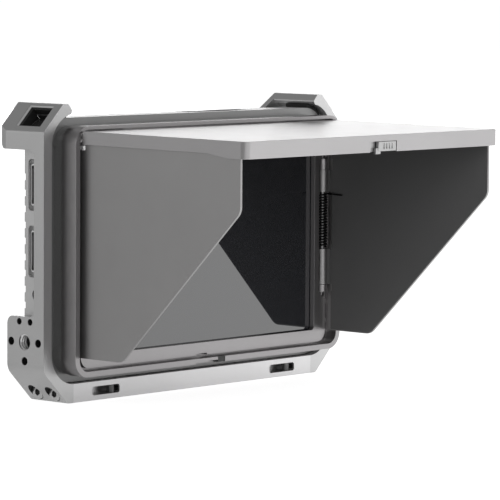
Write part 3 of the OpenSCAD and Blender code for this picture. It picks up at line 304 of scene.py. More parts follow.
# Painted shade inside holes, slots and the hooks' windows; the same dark also draws the joint lines between
# bar and plates.
HOLE_SHADE_AND_SEAM = Finish("hole_shade_and_seam", linear(34), 0.6, 0.1, Grain.MOULDED, relief=0.1)
# Bare machined metal, lightened further into a painted highlight on the socket rims, window bevels and
# threads.
BARE_AND_HIGHLIGHT = Finish("bare_edge_and_highlight", (0.9, 0.9, 0.9), 0.3, 0.95, Grain.BLASTED, relief=0.1)
PIN_THREAD = Finish("dark_steel", linear(120), 0.35, 0.9, drift=0.08)


@dataclass(frozen=True)
class Dress:
    """A CAD node, its finish, and the edge break that its machined copy gets.

    Attributes:
        node: The node's name.
        finish: Its finish.
        slot: Its material slot; not used.
        edge: Width of the edge break, or 0 where the node itself shows.
        sharp_angle: Least angle, in degrees, of an edge that is broken.
    """

    node: str
    finish: Finish
    slot: str
    edge: float = 0.0
    sharp_angle: float = 24.0


def body_of(node: str) -> str:
    """Return the name of the CAD body that a node rides on."""
    bodies = frame["record"]["behaviour"]["bodies"]
    return next(body for body, nodes in bodies.items() if node in nodes)


def wear(thing: bpy.types.Object, finish: Finish) -> None:
    """Give an object one finish all over."""
    thing.data.materials.clear()
    thing.data.materials.append(finish.material())


def machined(dress: Dress) -> bpy.types.Object:
    """Replace a CAD node by a copy whose edges are broken as a machinist would.

    Args:
        dress: The node with its finish and edge break.

    Returns:
        The new object, which rides on the node's body.
    """
    mesh = frame["nodes"][dress.node].data.copy()
    shape = bmesh.new()
    shape.from_mesh(mesh)
    bmesh.ops.remove_doubles(shape, verts=shape.verts, dist=WELD_GAP)
    bmesh.ops.dissolve_limit(shape, angle_limit=FLAT_ANGLE, verts=shape.verts, edges=shape.edges)
    for face in shape.faces:
        face.smooth = True
    sharp = math.radians(dress.sharp_angle)
    for edge in shape.edges:
        edge.smooth = not (edge.is_manifold and edge.calc_face_angle(0) > sharp)
    shape.to_mesh(mesh)
    shape.free()
    piece = bpy.data.objects.new(dress.node + "_finished", mesh)
    bpy.context.scene.collection.objects.link(piece)
    bevel = piece.modifiers.new("edge", "BEVEL")
    bevel.width = dress.edge
    bevel.segments = BREAK_SEGMENTS
    bevel.limit_method = "ANGLE"
    bevel.angle_limit = sharp
    bevel.harden_normals = False
    bevel.use_clamp_overlap = True
    bevel.miter_outer = "MITER_ARC"
    # The broken edges take the finish's lighter twin, a painted highlight.
    bevel.material = 1
    weigh = piece.modifiers.new("normals", "WEIGHTED_NORMAL")
    weigh.keep_sharp = True
    wear(piece, dress.finish)
    piece.data.materials.append(dress.finish.edge().material())
    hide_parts(dress.node)
    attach(piece, body_of(dress.node))
    return piece


def dress_node(dress: Dress) -> bpy.types.Object:
    """Finish a CAD node, as a machined copy where it has an edge break.

    Args:
        dress: The node with its finish and edge break.

    Returns:
        The object that shows.
    """
    if dress.edge > 0:
        return machined(dress)
    node = frame["nodes"][dress.node]
    wear(node, dress.finish)
    return node


def solid(name: str, points: list[Vector], faces: list[tuple[int, ...]], finish: Finish,
          body: str = "monitor", smooth: bool = False) -> bpy.types.Object:
    """Make a piece from points and faces.

    Args:
        name: Its name.
        points: Its corners.
        faces: Its faces, as runs of point numbers.
        finish: Its finish.
        body: The CAD body that it rides on.
        smooth: Whether it's shaded smooth.

    Returns:
        The new object.
    """
    mesh = bpy.data.meshes.new(name)
    mesh.from_pydata([tuple(p) for p in points], [], faces)
    mesh.polygons.foreach_set("use_smooth", [smooth] * len(mesh.polygons))
    piece = bpy.data.objects.new(name, mesh)
    bpy.context.scene.collection.objects.link(piece)
    wear(piece, finish)
    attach(piece, body)
    return piece


@dataclass(frozen=True)
class Axis:
    """A straight axis with a start and a way."""

    start: Vector
    way: Vector

    def square(self) -> tuple[Vector, Vector]:
        """Return two directions square to the axis and to each other."""
        side = self.way.orthogonal().normalized()
        return side, self.way.cross(side).normalized()

    def point(self, along: float, radius: float, turn: float) -> Vector:
        """Find a point round the axis.

        Args:
            along: Distance along the axis.
            radius: Distance from the axis.
            turn: Angle round the axis, in radians.

        Returns:
            The point.
        """
        side, up = self.square()
        return self.start + self.way * along + (side * math.cos(turn) + up * math.sin(turn)) * radius


@dataclass(frozen=True)
class Thread:
    """A screw thread on a rod, or cut into a bore where its depth is negative.

    Attributes:
        name: The thread's name.
        axis: Its axis, from its first turn.
        radius: Radius of the ridge's crest.
        length: How far it runs along the axis.
        pitch: Distance from one turn to the next.
        depth: Height of the ridge.
        finish: Its finish.
        slot: Its material slot; not used.
        steps: Steps a turn.
        profile: The ridge's corners, as shares of the pitch and of the depth.
    """

    name: str
    axis: Axis
    radius: float
    length: float
    pitch: float
    depth: float
    finish: Finish
    slot: str
    steps: int = 28
    profile: tuple[tuple[float, float], ...] = ((0.0, 0.0), (0.18, 1.0), (0.5, 1.0), (0.68, 0.0))

    def build(self) -> bpy.types.Object:
        """Make the thread as one winding skin with a ridge a turn.

        Returns:
            The threaded skin.
        """
        last = max(1, int(self.length / self.pitch)) * self.steps
        points = []
        for step in range(last + 1):
            turn = math.tau * step / self.steps
            base = step / self.steps * self.pitch
            for share, height in self.profile:
                along = min(max(base + (share - 0.5) * self.pitch, 0), self.length)
                points.append(self.axis.point(along, self.radius - self.depth * (1 - height), turn))
        count = len(self.profile)
        faces = []
        for step in range(last):
            for row in range(count - 1):
                here = step * count + row
                faces.append((here, here + 1, here + count + 1, here + count))
            if step + self.steps < last:
                end = step * count + count - 1
                above = (step + self.steps) * count
                faces.append((end, above, above + count, end + count))
        return solid(self.name, points, faces, self.finish, smooth=True)


@dataclass(frozen=True)
class Coil:
    """Wound springs that stand for plain CAD rods.

    Attributes:
        node: The CAD node of the rods.
        joint: The joint that would shorten them; not used.
        travel: How far it would shorten them; not used.
        radius: Radius of the windings' middle line.
        wire: Thickness of the wire.
        turns: Windings a spring.
        middles: Middle of each spring.
        way: The springs' way, towards the end that moves.
        steps: Steps a winding.
        sides: Sides of the wire.
    """

    node: str
    joint: str
    travel: float
    radius: float
    wire: float
    turns: int
    middles: tuple[Vector, ...]
    way: Vector
    steps: int = 14
    sides: int = 6

    def build(self) -> bpy.types.Object:
        """Wind the springs, and let them ride on their CAD node's body.

        Returns:
            The springs, as one piece.
        """
        low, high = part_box(self.node)
        length = (high - low).dot(self.way)
        thick = self.wire / 2
        count = self.turns * self.steps
        points, faces = [], []
        for middle in self.middles:
            axis = Axis(middle - self.way * length / 2, self.way)
            first = len(points)
            for step in range(count + 1):
                turn = math.tau * step / self.steps
                along = thick + (length - self.wire) * step / count
                for side in range(self.sides):
                    round_wire = math.tau * side / self.sides
                    points.append(axis.point(along + thick * math.sin(round_wire),
                                             self.radius + thick * math.cos(round_wire), turn))
            for step in range(count):
                row = first + step * self.sides
                for side in range(self.sides):
                    here, beside = row + side, row + (side + 1) % self.sides
                    faces.append((here, beside, beside + self.sides, here + self.sides))
            end = first + count * self.sides
            faces.append(tuple(range(first, first + self.sides)))
            faces.append(tuple(range(end, end + self.sides)))
        piece = solid(self.node + "_coils", points, faces, PLAIN_WIRE, body_of(self.node),
                      smooth=True)
        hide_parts(self.node)
        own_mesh(piece)
        return piece


@dataclass(frozen=True)
class Rim:
    """A thin upright metal rim with round corners, standing out along X.

    Attributes:
        name: The rim's name.
        x0: X of its outer end.
        x1: X of its inner end.
        y: Y of its middle.
        z: Z of its middle.
        half_y: Half its size along Y.
        half_z: Half its size along Z.
        wall: Thickness of its wall.
        corner: Radius of its outer corners.
        least_corner: Least radius of its inner corners.
        steps: Steps a corner.
    """

    name: str
    x0: float
    x1: float
    y: float
    z: float
    half_y: float
    half_z: float
    wall: float
    corner: float
    least_corner: float = 0.1 * MM
    steps: int = 4

    def ring(self, x: float, inset: float) -> list[Vector]:
        """Draw the rim's outline at one X.

        Args:
            x: Where the outline lies.
            inset: How far it is drawn in from the outside.

        Returns:
            The outline's points, in order.
        """
        points = []
        radius = max(self.corner - inset, self.least_corner)
        for quarter, (sy, sz) in enumerate(((1, 1), (-1, 1), (-1, -1), (1, -1))):
            mid_y = self.y + sy * (self.half_y - inset - radius)
            mid_z = self.z + sz * (self.half_z - inset - radius)
            for step in range(self.steps + 1):
                turn = math.pi / 2 * (quarter + step / self.steps)
                points.append(Vector((x, mid_y + radius * math.cos(turn), mid_z + radius * math.sin(turn))))
        return points

    def build(self) -> bpy.types.Object:
        """Make the rim from four rings, two outside and two inside.

        Returns:
            The rim.
        """
        rings = [self.ring(self.x0, 0), self.ring(self.x1, 0), self.ring(self.x1, self.wall),
                 self.ring(self.x0, self.wall)]
        count = len(rings[0])
        faces = []
        for number in range(len(rings)):
            here, there = number * count, (number + 1) % len(rings) * count
            for spot in range(count):
                beside = (spot + 1) % count
                faces.append((here + spot, here + beside, there + beside, there + spot))
        # The rim is bare metal with a painted highlight.
        return solid(self.name, [p for ring in rings for p in ring], faces, BARE_AND_HIGHLIGHT)


def lining(name: str, low: Vector, high: Vector, finish: Finish) -> bpy.types.Object:
    """Line the back, both ends and the roof of a slot that opens towards -Y, as painted shade.

    Args:
        name: The lining's name.
        low: Its lowest corner.
        high: Its highest corner.
        finish: Its finish.

    Returns:
        The lining, open in front and below.
    """
    xs, ys, zs = (low.x, high.x), (low.y, high.y), (low.z, high.z)
    points = [Vector((x, y, z)) for x in xs for y in ys for z in zs]
    faces = [(2, 3, 7, 6), (0, 1, 3, 2), (4, 6, 7, 5), (1, 5, 7, 3)]
    return solid(name, points, faces, finish)


@dataclass(frozen=True)
class Well:
    """Painted shade lining a round hole in a side plate.

    Attributes:
        name: The lining's name.
        side: The plate's side.
        face_x: Distance of the plate's outer face from the middle.
        y: Y of the hole's middle.
        z: Z of the hole's middle.
        radius: Radius of the lining.
        start: Depth of its lip below the outer face.
        end: Depth of its floor below the outer face.
        lean: How much deeper the lip lies per length upwards. A leaning well has no floor.
        least_wall: Least depth of the wall below the lip.
        steps: Steps round the hole.
    """

    name: str
    side: Side
    face_x: float
    y: float
    z: float
    radius: float
    start: float
    end: float
    lean: float = 0.0
    least_wall: float = 0.05 * MM
    steps: int = 28

    def build(self) -> bpy.types.Object:
        """Make the hole's wall, and its floor where the lip is level.

        Returns:
            The lining.
        """
        points = []
        for at_floor in (False, True):
            for step in range(self.steps):
                turn = math.tau * step / self.steps
                up = self.radius * math.sin(turn)
                lip = min(self.start + self.lean * up, self.end - self.least_wall)
                x = self.side.value * (self.face_x - (self.end if at_floor else lip))
                points.append(Vector((x, self.y + self.radius * math.cos(turn), self.z + up)))
        count = self.steps
        faces = [(i, (i + 1) % count, count + (i + 1) % count, count + i) for i in range(count)]
        if not self.lean:
            faces.append(tuple(range(count, 2 * count)))
        return solid(self.name, points, faces, HOLE_SHADE_AND_SEAM)


@dataclass(frozen=True)
class HookWindow:
    """Bevels with a painted highlight, and painted shade inside the window in a hook's chamfer.

    Attributes:
        side: The hook's side.
        middle_x: Distance of the window's middle from the monitor's middle.
        middle_y: Y of its middle.
        middle_z: Z of its middle.
        width: Its size along Y.
        length: Its size up the chamfer.
        skin: How far the linings stay clear of the metal.
        bevel_above: How far the outer edge of the bevel lies above the window.
        bevel_behind: How far it lies behind the window.
        step_above: How far the inner edge of the bevel lies above the window.
        step_behind: How far it lies behind the window.
        step: Depth of the bevel's inner edge.
        lip: Depth of the lining's front lip.
        wall: Depth of the lining's walls.
        rear_wall: Depth of its rear wall.
    """

    side: Side
    middle_x: float = 80.8 * MM
    middle_y: float = -0.3 * MM
    middle_z: float = 110.6 * MM
    width: float = 11.4 * MM
    length: float = 9.4 * MM
    skin: float = 0.04 * MM
    bevel_above: float = 1.3 * MM
    bevel_behind: float = 1.5 * MM
    step_above: float = 0.6 * MM
    step_behind: float = 0.5 * MM
    step: float = 0.3 * MM
    lip: float = 0.95 * MM
    wall: float = 3.4 * MM
    rear_wall: float = 9 * MM

    def place(self, along: float, y: float, out: float) -> Vector:
        """Turn a point given along the chamfer, along Y and outwards into the frame.

        Args:
            along: Distance from the window's middle, up the chamfer.
            y: Place along Y.
            out: Distance out of the chamfer.

        Returns:
            The point.
        """
        root = math.sqrt(0.5)
        x = self.middle_x - root * along + root * out
        return Vector((self.side.value * x, y, self.middle_z + root * along + root * out))

    def build(self) -> list[bpy.types.Object]:
        """Make the bevelled edges and the lining.

        Returns:
            The bevels and the lining.
        """
        half = self.length / 2
        front, rear = self.middle_y - self.width / 2, self.middle_y + self.width / 2
        return [self.bevels(half, front, rear),
                self.inside(half - self.skin, front + self.skin, rear - self.skin)]

    def bevels(self, half: float, front: float, rear: float) -> bpy.types.Object:
        """Make the bevels above and behind the window, bare metal with a painted highlight.

        Args:
            half: Half the window's length.
            front: Y of its front end.
            rear: Y of its rear end.

        Returns:
            Both bevels, as one piece.
        """
        top, inner_top = half + self.bevel_above, half + self.step_above
        back, inner_back = rear + self.bevel_behind, rear + self.step_behind
        spots = [(-half, back, -self.skin), (top, back, -self.skin), (inner_top, inner_back, -self.step),
                 (-half, inner_back, -self.step), (top, front, -self.skin), (inner_top, front, -self.step)]
        points = [self.place(*spot) for spot in spots]
        faces = [(0, 1, 2, 3), (4, 5, 2, 1)]
        return solid(self.side.tag + "_window_bevels", points, faces, BARE_AND_HIGHLIGHT)

    def inside(self, half: float, front: float, rear: float) -> bpy.types.Object:
        """Line the window with painted shade, with a deeper wall behind.

        Args:
            half: Half the lining's length.
            front: Y of its front end.
            rear: Y of its rear end.

        Returns:
            The lining.
        """
        top, back = half + self.step_above, rear + self.step_behind
        mouth = [(-half, front, -self.lip), (top, front, -self.step), (top, back, -self.step),
                 (-half, back, -self.step)]
        ring = [(-half, front), (half, front), (half, rear), (-half, rear)]
        points = [self.place(*spot) for spot in mouth]
        points += [self.place(along, y, out) for out in (-self.lip, -self.wall) for along, y in ring]
        points += [self.place(-half, rear, -self.rear_wall), self.place(half, rear, -self.rear_wall)]
        count = len(ring)
        faces = []
        for row in (0, count):
            for spot in range(count):
                beside = (spot + 1) % count
                faces.append((row + spot, row + beside, row + count + beside, row + count + spot))
        faces.append((11, 10, 13, 12))
        return solid(self.side.tag + "_window_lining", points, faces, HOLE_SHADE_AND_SEAM)


class Assembly:
    """A group of pieces that is dressed together."""

    def dresses(self) -> list[Dress]:
        """Return the CAD nodes of the group with their finishes."""
        return []

    def build(self) -> list[bpy.types.Object]:
        """Return the pieces that the CAD nodes don't show."""
        return []

    def assemble(self) -> None:
        """Dress the nodes, build the other pieces and report each piece."""
        pieces = [dress_node(dress) for dress in self.dresses()] + self.build()
        for piece in pieces:
            LOG.info("%s: %s", type(self).__name__, piece.name)


@dataclass(frozen=True)
class Cage(Assembly):
    """Machined side plates, base bar and their screws.

    Attributes:
        face_x: Distance of a side plate's outer face from the middle.
        front_y: Y of the cage's front.
        plate_break: Edge break of the side plates.
        bar_break: Edge break of the base bar.
        screw_break: Edge break of the corner screws.
        thread_r: Radius of the bore of the side thread.
        thread_y: Y of its axis.
        thread_z: Z of its axis.
        thread_start: How far its first turn lies below the outer face.
        thread_crest: How far the ridge's crest stands out of the bore's wall.
        thread_depth: Height of its ridge.
        thread_pitch: Its pitch.
        thread_l: Its length.
        thread_floor_r: Radius of the painted shade floor below it.
        thread_floor: Depth of that floor.
        disc: Height of the wall of a well that is only a floor.
        hole_reach: Distance of the locating holes from the side thread.
        hole_r: Their radius.
        small_hole_y: Distance of the small locating holes from the side thread along Y.
        small_hole_z: Their distance from it along Z.
        small_hole_r: Their radius.
        hole_gap: How far the holes' linings stay clear of the metal.
        hole_start: Depth of the linings' lip.
        hole_floor: Depth of the linings' floor.
        bore_y: Distance of a corner screw's counterbore from the bar's middle.
        bore_mid_y: Y of the bar's middle.
        bore_z: Z of the counterbores.
        bore_r: Radius of their linings.
        bore_start: Mean depth of the linings' lip.
        bore_floor: Depth of the linings' end.
        bore_lean: How much deeper the lip lies per length upwards, along the corner's chamfer.
        key_r: Radius of the painted shade in a corner screw's socket.
        key_floor: Depth of that socket's floor.
        pin_r: Radius of the bar's pins.
        pin_trim: How far a pin's thread stops short of its ends.
        pin_crest: How far its ridge stands out of the pin.
        pin_depth: Height of its ridge.
        pin_pitch: Its pitch.
        slot_w: Width of the bar's slots.
        slot_beyond: How far a slot runs on beyond its pin.
        slot_mouth: How far its lining comes forward of the pin.
        slot_back: How far the lining's back lies behind the pin's front.
        slot_gap: How far the lining stays clear of the metal above and below.
        seam_x: Distance of the joint lines between bar and side plates from the middle.
        seam_w: Their width.
        seam_sink: How far they lie below the front.
        seam_low: Z of their lower ends.
        seam_high: Z of their upper ends.
    """

    face_x: float = 86 * MM
    front_y: float = -10 * MM
    plate_break: float = 0.5 * MM
    bar_break: float = 0.4 * MM
    screw_break: float = 0.12 * MM
    thread_r: float = 3.175 * MM
    thread_y: float = 0.4 * MM
    thread_z: float = 24.1 * MM
    thread_start: float = 0.25 * MM
    thread_crest: float = 0.52 * MM
    thread_depth: float = 0.5 * MM
    thread_pitch: float = 1.27 * MM
    thread_l: float = 3.9 * MM
    thread_floor_r: float = 3.1 * MM
    thread_floor: float = 4.15 * MM
    disc: float = 0.05 * MM
    hole_reach: float = 7.35 * MM
    hole_r: float = 1.6 * MM
    small_hole_y: float = 2.95 * MM
    small_hole_z: float = 7.9 * MM
    small_hole_r: float = 1.3 * MM
    hole_gap: float = 0.03 * MM
    hole_start: float = 0.4 * MM
    hole_floor: float = 3.45 * MM
    bore_y: float = 4.6 * MM
    bore_mid_y: float = -0.7 * MM
    bore_z: float = 3.7 * MM
    bore_r: float = 2.9 * MM
    bore_start: float = 9.46 * MM
    bore_floor: float = 12.85 * MM
    bore_lean: float = -1.0
    key_r: float = 1.2 * MM
    key_floor: float = 10.9 * MM
    pin_r: float = 1.5 * MM
    pin_trim: float = 0.05 * MM
    pin_crest: float = 0.15 * MM
    pin_depth: float = 0.2 * MM
    pin_pitch: float = 0.6 * MM
    slot_w: float = 15.3 * MM
    slot_beyond: float = 1.1 * MM
    slot_mouth: float = 0.3 * MM
    slot_back: float = 4.9 * MM
    slot_gap: float = 0.04 * MM
    seam_x: float = 69.7 * MM
    seam_w: float = 0.32 * MM
    seam_sink: float = 0.07 * MM
    seam_low: float = 0.25 * MM
    seam_high: float = 7.2 * MM

    def dresses(self) -> list[Dress]:
        """List the cage's nodes.

        Returns:
            The nodes with their finishes.
        """
        return [
            Dress("side_plate_left", CAGE, "cage_metal", self.plate_break),
            Dress("side_plate_right", CAGE, "cage_metal", self.plate_break),
            Dress("base_bar", BAR, "bar_metal", self.bar_break),
            Dress("corner_screws", SCREW, "screw_steel", self.screw_break),
            Dress("bar_pins", PIN_THREAD, "screw_steel"),
            Dress("clamp_screws", SCREW, "screw_steel"),
            Dress("hook_pads", RUBBER, "rubber"),
        ]

    def build(self) -> list[bpy.types.Object]:
        """Make the threads, the painted shade lining slots, holes and the hooks' windows, and the joint
        lines.

        Returns:
            The pieces.
        """
        pieces = [self.side_thread(side) for side in Side]
        for side in Side:
            pieces += self.bar_slot(side)
        for side in Side:
            pieces += self.wells(side) + HookWindow(side).build() + [self.seam(side)]
        return pieces

    def side_thread(self, side: Side) -> bpy.types.Object:
        """Cut the thread in a side plate.

        Args:
            side: The plate's side.

        Returns:
            The thread.
        """
        outer = -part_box("side_plate_left")[0].x
        start = Vector((side.value * (outer - self.thread_start), self.thread_y, self.thread_z))
        axis = Axis(start, Vector((-side.value, 0, 0)))
        # The thread's ridges are bare metal with a painted highlight.
        return Thread(side.tag + "_thread", axis, self.thread_r - self.thread_crest, self.thread_l,
                      self.thread_pitch, -self.thread_depth, BARE_AND_HIGHLIGHT, "cage_metal").build()

    def bar_slot(self, side: Side) -> list[bpy.types.Object]:
        """Thread a pin of the base bar, and line the slot that it stands in with painted shade.

        Args:
            side: The slot's side.

        Returns:
            The pin's thread and the lining.
        """
        low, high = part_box("bar_pins")
        x = low.x + self.pin_r if side is Side.LEFT else high.x - self.pin_r
        axis = Axis(Vector((x, (low.y + high.y) / 2, low.z + self.pin_trim)), Vector((0, 0, 1)))
        thread = Thread(side.tag + "_pin_thread", axis, self.pin_r + self.pin_crest,
                        high.z - low.z - 2 * self.pin_trim, self.pin_pitch, self.pin_depth, PIN_THREAD,
                        "screw_steel").build()
        end = x + self.pin_r + self.slot_beyond
        near = Vector((end - self.slot_w, low.y - self.slot_mouth, low.z + self.slot_gap))
        far = Vector((end, low.y + self.slot_back, high.z - self.slot_gap))
        return [thread, lining(side.tag + "_slot_lining", near, far, HOLE_SHADE_AND_SEAM)]

    def wells(self, side: Side) -> list[bpy.types.Object]:
        """Line the locating holes and the corner screws' counterbores with painted shade.

        Args:
            side: The plate's side.

        Returns:
            The linings.
        """
        def well(name: str, y: float, z: float, radius: float, start: float, end: float,
                 lean: float = 0.0) -> bpy.types.Object:
            """Line one hole of the plate."""
            return Well(f"{side.tag}_{name}", side, self.face_x, y, z, radius, start, end, lean).build()

        spots = [("rear_hole", self.hole_reach, 0, self.hole_r),
                 ("front_hole", -self.hole_reach, 0, self.hole_r),
                 ("low_hole", 0, -self.hole_reach, self.hole_r),
                 ("small_rear_hole", self.small_hole_y, self.small_hole_z, self.small_hole_r),
                 ("small_front_hole", -self.small_hole_y, self.small_hole_z, self.small_hole_r)]
        linings = [well(name, self.thread_y + dy, self.thread_z + dz, radius - self.hole_gap, self.hole_start,
                        self.hole_floor) for name, dy, dz, radius in spots]
        for name, dy in (("rear_counterbore", self.bore_y), ("front_counterbore", -self.bore_y)):
            y = self.bore_mid_y + dy
            linings.append(well(name, y, self.bore_z, self.bore_r, self.bore_start, self.bore_floor,
                                self.bore_lean))
            linings.append(well(name + "_socket", y, self.bore_z, self.key_r, self.key_floor,
                                self.key_floor + self.disc))
        linings.append(well("thread_floor", self.thread_y, self.thread_z, self.thread_floor_r,
                            self.thread_floor, self.thread_floor + self.disc))
        return linings

    def seam(self, side: Side) -> bpy.types.Object:
        """Draw the joint line between the base bar and a side plate.

        Args:
            side: The plate's side.

        Returns:
            The line, as a dark strip.
        """
        near, far = self.seam_x - self.seam_w / 2, self.seam_x + self.seam_w / 2
        spots = ((near, self.seam_low), (far, self.seam_low), (far, self.seam_high), (near, self.seam_high))
        points = [Vector((side.value * x, self.front_y + self.seam_sink, z)) for x, z in spots]
        return solid(side.tag + "_seam", points, [(0, 1, 2, 3)], HOLE_SHADE_AND_SEAM)


@dataclass(frozen=True)
class CornerCoat:
    """Sheet of painted shade on the body's rounded top corner, seen through the hook's window.

    Attributes:
        side: The corner's side.
        radius: Radius of the sheet.
        axis_x: Distance of the corner's axis from the middle.
        axis_z: Z of the corner's axis.
        front: Y of the sheet's front end.
        back: Y of its back end.
        steps: Steps round the corner.
    """

    side: Side
    radius: float = 11.95 * MM
    axis_x: float = 69.4 * MM
    axis_z: float = 98.4 * MM
    front: float = -6.1 * MM
    back: float = 5.1 * MM
    steps: int = 16

    def build(self) -> bpy.types.Object:
        """Bend the painted shade a quarter turn round the corner.

        Returns:
            The sheet of painted shade.
        """
        points = []
        for step in range(self.steps + 1):
            turn = math.pi / 2 * step / self.steps
            x = self.side.value * (self.axis_x + self.radius * math.sin(turn))
            z = self.axis_z + self.radius * math.cos(turn)
            points += [Vector((x, self.front, z)), Vector((x, self.back, z))]
        faces = [(2 * i, 2 * i + 1, 2 * i + 3, 2 * i + 2) for i in range(self.steps)]
        return solid(self.side.tag + "_corner_coat", points, faces, CORNER_SHADE, smooth=True)


@dataclass(frozen=True)
class ShoulderCoat:
    """Coat of the front shell's finish on the rear housing's forward faces.

    Attributes:
        node: The CAD node that is coated.
        beyond: Least distance of the coated faces in front of the origin.
        lift: How far the coat stands off them.
        facing: Least cosine between the way forward and a coated face's normal.
    """

    node: str = "rear_housing"
    beyond: float = 6.2 * MM
    lift: float = 0.03 * MM
    facing: float = 0.98

    def build(self) -> bpy.types.Object:
        """Copy the forward faces, a little in front of themselves.

        Returns:
            The coat.
        """
        forward = Vector((0, -1, 0))
        mesh = frame["nodes"][self.node].data
        points, faces, known = [], [], {}
        for face in mesh.polygons:
            if face.normal.dot(forward) > self.facing and face.center.dot(forward) > self.beyond:
                row = []
                for index in face.vertices:
                    if index not in known:
                        known[index] = len(points)
                        points.append(mesh.vertices[index].co + forward * self.lift)
                    row.append(known[index])
                faces.append(tuple(row))
        return solid("shoulder_coat", points, faces, FRONT_SHELL, body_of(self.node))


@dataclass(frozen=True)
class MonitorBody(Assembly):
    """Front and rear housings, screen and what they hold.

    Attributes:
        shell_break: Edge break of the housings.
        button_break: Edge break of the buttons.
        rim_out: How far a video socket's rim stands out of the socket.
        rim_in: How far it reaches into the socket.
        rim_half_y: Half the rim's size along Y.
        rim_half_z: Half its size along Z.
        rim_wall: Thickness of its wall.
        rim_corner: Radius of its corners.
    """

    shell_break: float = 0.4 * MM
    button_break: float = 0.25 * MM
    rim_out: float = 0.9 * MM
    rim_in: float = 0.3 * MM
    rim_half_y: float = 2.78 * MM
    rim_half_z: float = 7.98 * MM
    rim_wall: float = 0.55 * MM
    rim_corner: float = 1.2 * MM

    def dresses(self) -> list[Dress]:
        """List the monitor's nodes.

        Returns:
            The nodes with their finishes.
        """
        return [
            Dress("front_housing", FRONT_SHELL, "front_shell", self.shell_break),
            Dress("rear_housing", REAR_SHELL, "rear_shell", self.shell_break),
            Dress("cover_glass", GLASS, "screen_glass"),
            Dress("picture_panel", PANEL, "panel"),
            Dress("backlight", DIFFUSER, "diffuser"),
            Dress("panel_frame", SCREW, "screw_steel"),
            Dress("panel_screws", SCREW, "screw_steel"),
            Dress("mainboard", BOARD, "circuit_board"),
            Dress("board_screws", SCREW, "screw_steel"),
            Dress("button_board", BOARD, "circuit_board"),
            Dress("heat_sink", SINK, "heat_sink_metal"),
            Dress("housing_screws", SCREW, "screw_steel"),
            Dress("video_socket_upper", SOCKET, "socket_shell"),
            Dress("video_socket_lower", SOCKET, "socket_shell"),
            Dress("headphone_jack", JACK, "jack_plastic"),
            Dress("power_button", BUTTON, "button_metal", self.button_break),
            Dress("menu_button", BUTTON, "button_metal", self.button_break),
            Dress("input_button", BUTTON, "button_metal", self.button_break),
        ]

    def build(self) -> list[bpy.types.Object]:
        """Coat the dark shoulder, lay painted shade on the corners, and rim the mouths of the video sockets.

        Returns:
            The shoulder coat, the painted shade sheets and the rims.
        """
        pieces = [ShoulderCoat().build()]
        pieces += [CornerCoat(side).build() for side in Side]
        for which in ("upper", "lower"):
            low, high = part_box("video_socket_" + which)
            pieces.append(Rim(which + "_socket_rim", low.x - self.rim_out, low.x + self.rim_in,
                              (low.y + high.y) / 2, (low.z + high.z) / 2, self.rim_half_y, self.rim_half_z,
                              self.rim_wall, self.rim_corner).build())
        return pieces


@dataclass(frozen=True)
class BatteryBack(Assembly):
    """Battery plate on the back, with its release button.

    Attributes:
        plastic_break: Edge break of the plate and the button.
        travel: How far the release button slides.
        spring_r: Outer radius of its springs.
        wire: Thickness of their wire.
        turns: Windings a spring.
    """

    plastic_break: float = 0.3 * MM
    travel: float = 2.5 * MM
    spring_r: float = 0.6 * MM
    wire: float = 0.24 * MM
    turns: int = 9

    def dresses(self) -> list[Dress]:
        """List the battery plate's nodes.

        Returns:
            The nodes with their finishes.
        """
        return [
            Dress("battery_plate", BLACK_PLASTIC, "battery_plastic", self.plastic_break),
            Dress("battery_plate_screws", SCREW, "screw_steel"),
            Dress("battery_contacts", GOLD, "contact_gold"),
            Dress("battery_release", GREY_PLASTIC, "release_plastic", self.plastic_break),
        ]

    def build(self) -> list[bpy.types.Object]:
        """Wind the two springs under the release button.

        Returns:
            The springs, as one piece in a list.
        """
        low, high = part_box("release_springs")
        middle = (low + high) / 2
        spread = Vector(((high.x - low.x) / 2 - self.spring_r, 0, 0))
        springs = Coil("release_springs", "release_slide", self.travel, self.spring_r - self.wire / 2,
                       self.wire, self.turns, (middle - spread, middle + spread), Vector((0, 0, 1)))
        return [springs.build()]


@dataclass(frozen=True)
class HingeLining:
    """Dark lining of a flap beside its hinge, one strip a knuckle.

    Attributes:
        side: The flap's side.
        axis_y: Y of the flap's hinge.
        spans: Lowest and highest Z of each strip.
        inner: Distance of the strips' inner face from the middle.
        edge: Distance of their far edge from the middle.
        start: How far the strips' rear lies in front of the hinge.
        end: How far their front lies in front of the hinge.
    """

    side: Side
    axis_y: float
    spans: tuple[tuple[float, float], ...] = ((37.6 * MM, 52.2 * MM), (75.9 * MM, 84.9 * MM))
    inner: float = 72.64 * MM
    edge: float = 71.3 * MM
    start: float = 1.95 * MM
    end: float = 3.5 * MM

    def build(self) -> bpy.types.Object:
        """Bend a strip a knuckle from the lining to the knuckle's front face.

        Returns:
            The strips.
        """
        front, rear = self.axis_y - self.end, self.axis_y - self.start
        points, faces = [], []
        for low, high in self.spans:
            first = len(points)
            for x, y in ((self.inner, front), (self.inner, rear), (self.edge, rear)):
                points += [Vector((self.side.value * x, y, low)), Vector((self.side.value * x, y, high))]
            faces += [(first + i, first + i + 1, first + i + 3, first + i + 2) for i in (0, 2)]
        return solid(self.side.tag + "_hinge_lining", points, faces, FILM,
                     "flap_" + self.side.tag)


